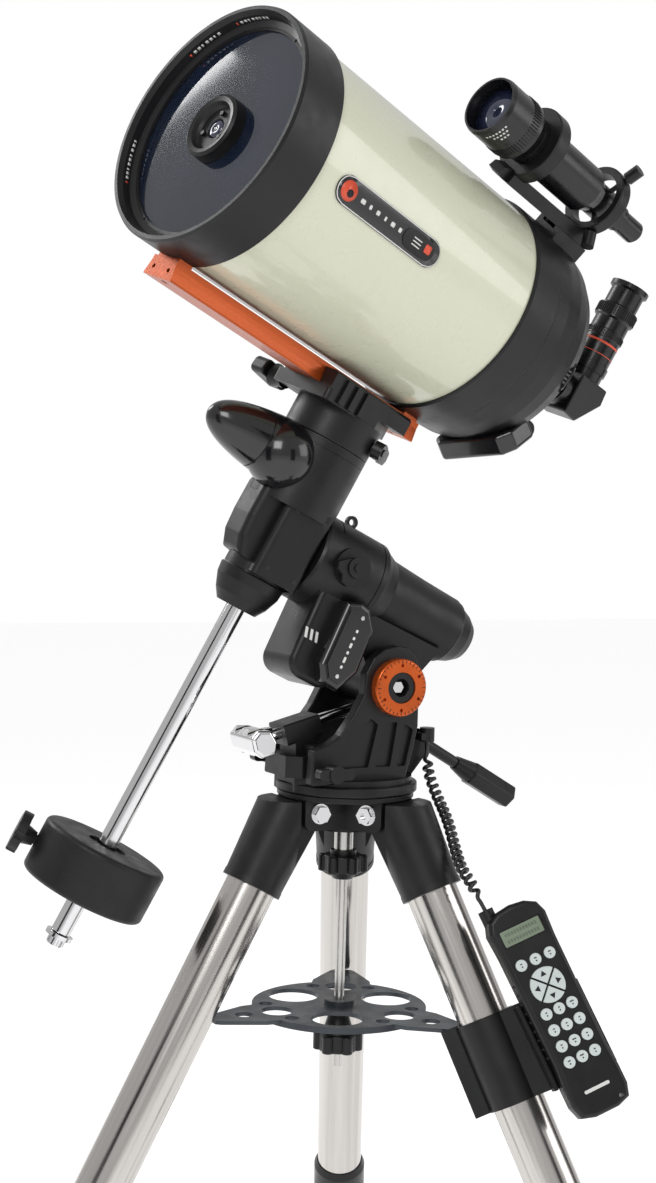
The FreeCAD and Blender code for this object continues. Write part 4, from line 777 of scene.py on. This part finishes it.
def curly_cord():
    coil = helix(drawn_line(CORD_ROUTE, ROUTE_STEPS))
    cord = bpy.data.objects.new("curly_cord_wire", wire_mesh(coil))
    bpy.context.scene.collection.objects.link(cord)
    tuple(CORD_ROUTE[0])
    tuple(CORD_ROUTE[-1])
    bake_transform(cord)
    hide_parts("curly_cord")
    line = drawn_line(coil, COIL_STEPS)
    length = sum((b - a).length for a, b in zip(line, line[1:]))
    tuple(CORD_ROUTE[0])
    [tuple(p) for p in line]


# ---------------------------------------------------------------- studio
FLOOR_REACH = 12.0
FLOOR_GLOW = 0.44                      # lifts the floor to the photo's white
WORLD_LIGHT = 0.6
BACKDROP = 1.0                         # the world as the camera sees it
FLAGS = (("flag_left", (-1.2, 3.0, 1.0), (1.0, 2.6)), ("flag_near", (-3.4, -0.6, 0.9), (0.9, 2.4)),
         ("flag_right", (-0.6, -3.0, 1.0), (0.9, 2.6)))


def studio():
    floor = bpy.data.objects.new("floor", bpy.data.meshes.new("floor"))
    corners = [(x * FLOOR_REACH, y * FLOOR_REACH, 0) for x, y in ((-1, -1), (1, -1), (1, 1), (-1, 1))]
    floor.data.from_pydata(corners, [], [(0, 1, 2, 3)])
    paper = surface("floor", (0.86, 0.86, 0.86), 0.7, grain=None, vary=0.01)
    glow = paper.node_tree.nodes["Principled BSDF"].inputs
    glow["Emission Color"].default_value = (1, 1, 1, 1)
    glow["Emission Strength"].default_value = FLOOR_GLOW
    floor.data.materials.append(paper)
    bpy.context.scene.collection.objects.link(floor)
    world = bpy.data.worlds.new("studio")
    bpy.context.scene.world = world
    world.use_nodes = True
    tree = world.node_tree
    seen = tree.nodes.new("ShaderNodeMapRange")
    seen.inputs["To Min"].default_value = WORLD_LIGHT
    seen.inputs["To Max"].default_value = BACKDROP
    tree.links.new(tree.nodes.new("ShaderNodeLightPath").outputs["Is Camera Ray"], seen.inputs["Value"])
    tree.nodes["Background"].inputs["Color"].default_value = (1, 1, 1, 1)
    tree.links.new(seen.outputs["Result"], tree.nodes["Background"].inputs["Strength"])
    area("key", (-2.6, 2.2, 3.0), (0, 0, 1.0), 1.6, 55)
    area("fill", (-2.2, -2.6, 1.8), (0, 0, 0.9), 1.8, 22)
    area("rim", (2.2, 1.2, 2.6), (0, 0, 1.1), 1.2, 30)
    for name, place, size in FLAGS:
        dark_flag(name, place, size)


def area(name, place, target, size, power):
    """Square lamp aimed at a target."""
    light = bpy.data.lights.new(name, "AREA")
    light.size = size
    light.energy = power
    lamp = bpy.data.objects.new(name, light)
    lamp.location = place
    lamp.rotation_euler = (Vector(target) - Vector(place)).to_track_quat("-Z", "Y").to_euler()
    bpy.context.scene.collection.objects.link(lamp)


def dark_flag(name, place, size):
    """Black studio flag that only reflections see."""
    mesh = bpy.data.meshes.new(name)
    w, h = size
    mesh.from_pydata([(-w / 2, -h / 2, 0), (w / 2, -h / 2, 0), (w / 2, h / 2, 0), (-w / 2, h / 2, 0)], [],
                     [(0, 1, 2, 3)])
    mesh.materials.append(INK)
    flag = bpy.data.objects.new(name, mesh)
    flag.location = place
    flag.rotation_euler = (Vector((0, 0, 1.0)) - Vector(place)).to_track_quat("-Z", "Y").to_euler()
    flag.visible_camera = False
    flag.visible_shadow = False
    flag.visible_diffuse = False
    bpy.context.scene.collection.objects.link(flag)


EYE = (-1.70259, 0.94048, 1.04599)
LENS = 59.343
SENSOR = 36.0                          # along the picture's long side, its height


def camera():
    """Long lens from the north-west, level with the middle of the telescope."""
    right = Vector((-0.4716, -0.8813, 0.0288))
    forward = Vector((0.8798, -0.4725, -0.0519)).normalized()
    right = (right - forward * right.dot(forward)).normalized()
    up = right.cross(forward)
    lens = bpy.data.cameras.new("camera")
    lens.sensor_width = SENSOR
    lens.lens = LENS
    lens.clip_start = 0.05
    eye = bpy.data.objects.new("camera", lens)
    turn = Matrix((right, up, -forward)).transposed().to_4x4()
    eye.matrix_world = Matrix.Translation(EYE) @ turn
    bpy.context.scene.collection.objects.link(eye)
    bpy.context.scene.camera = eye


tube_badge()
front_end()
vents()
finder_detail()
eyepiece_detail()
mount_detail()
hand_detail()
curly_cord()
studio()
camera()
bpy.context.scene.view_settings.view_transform = "Standard"
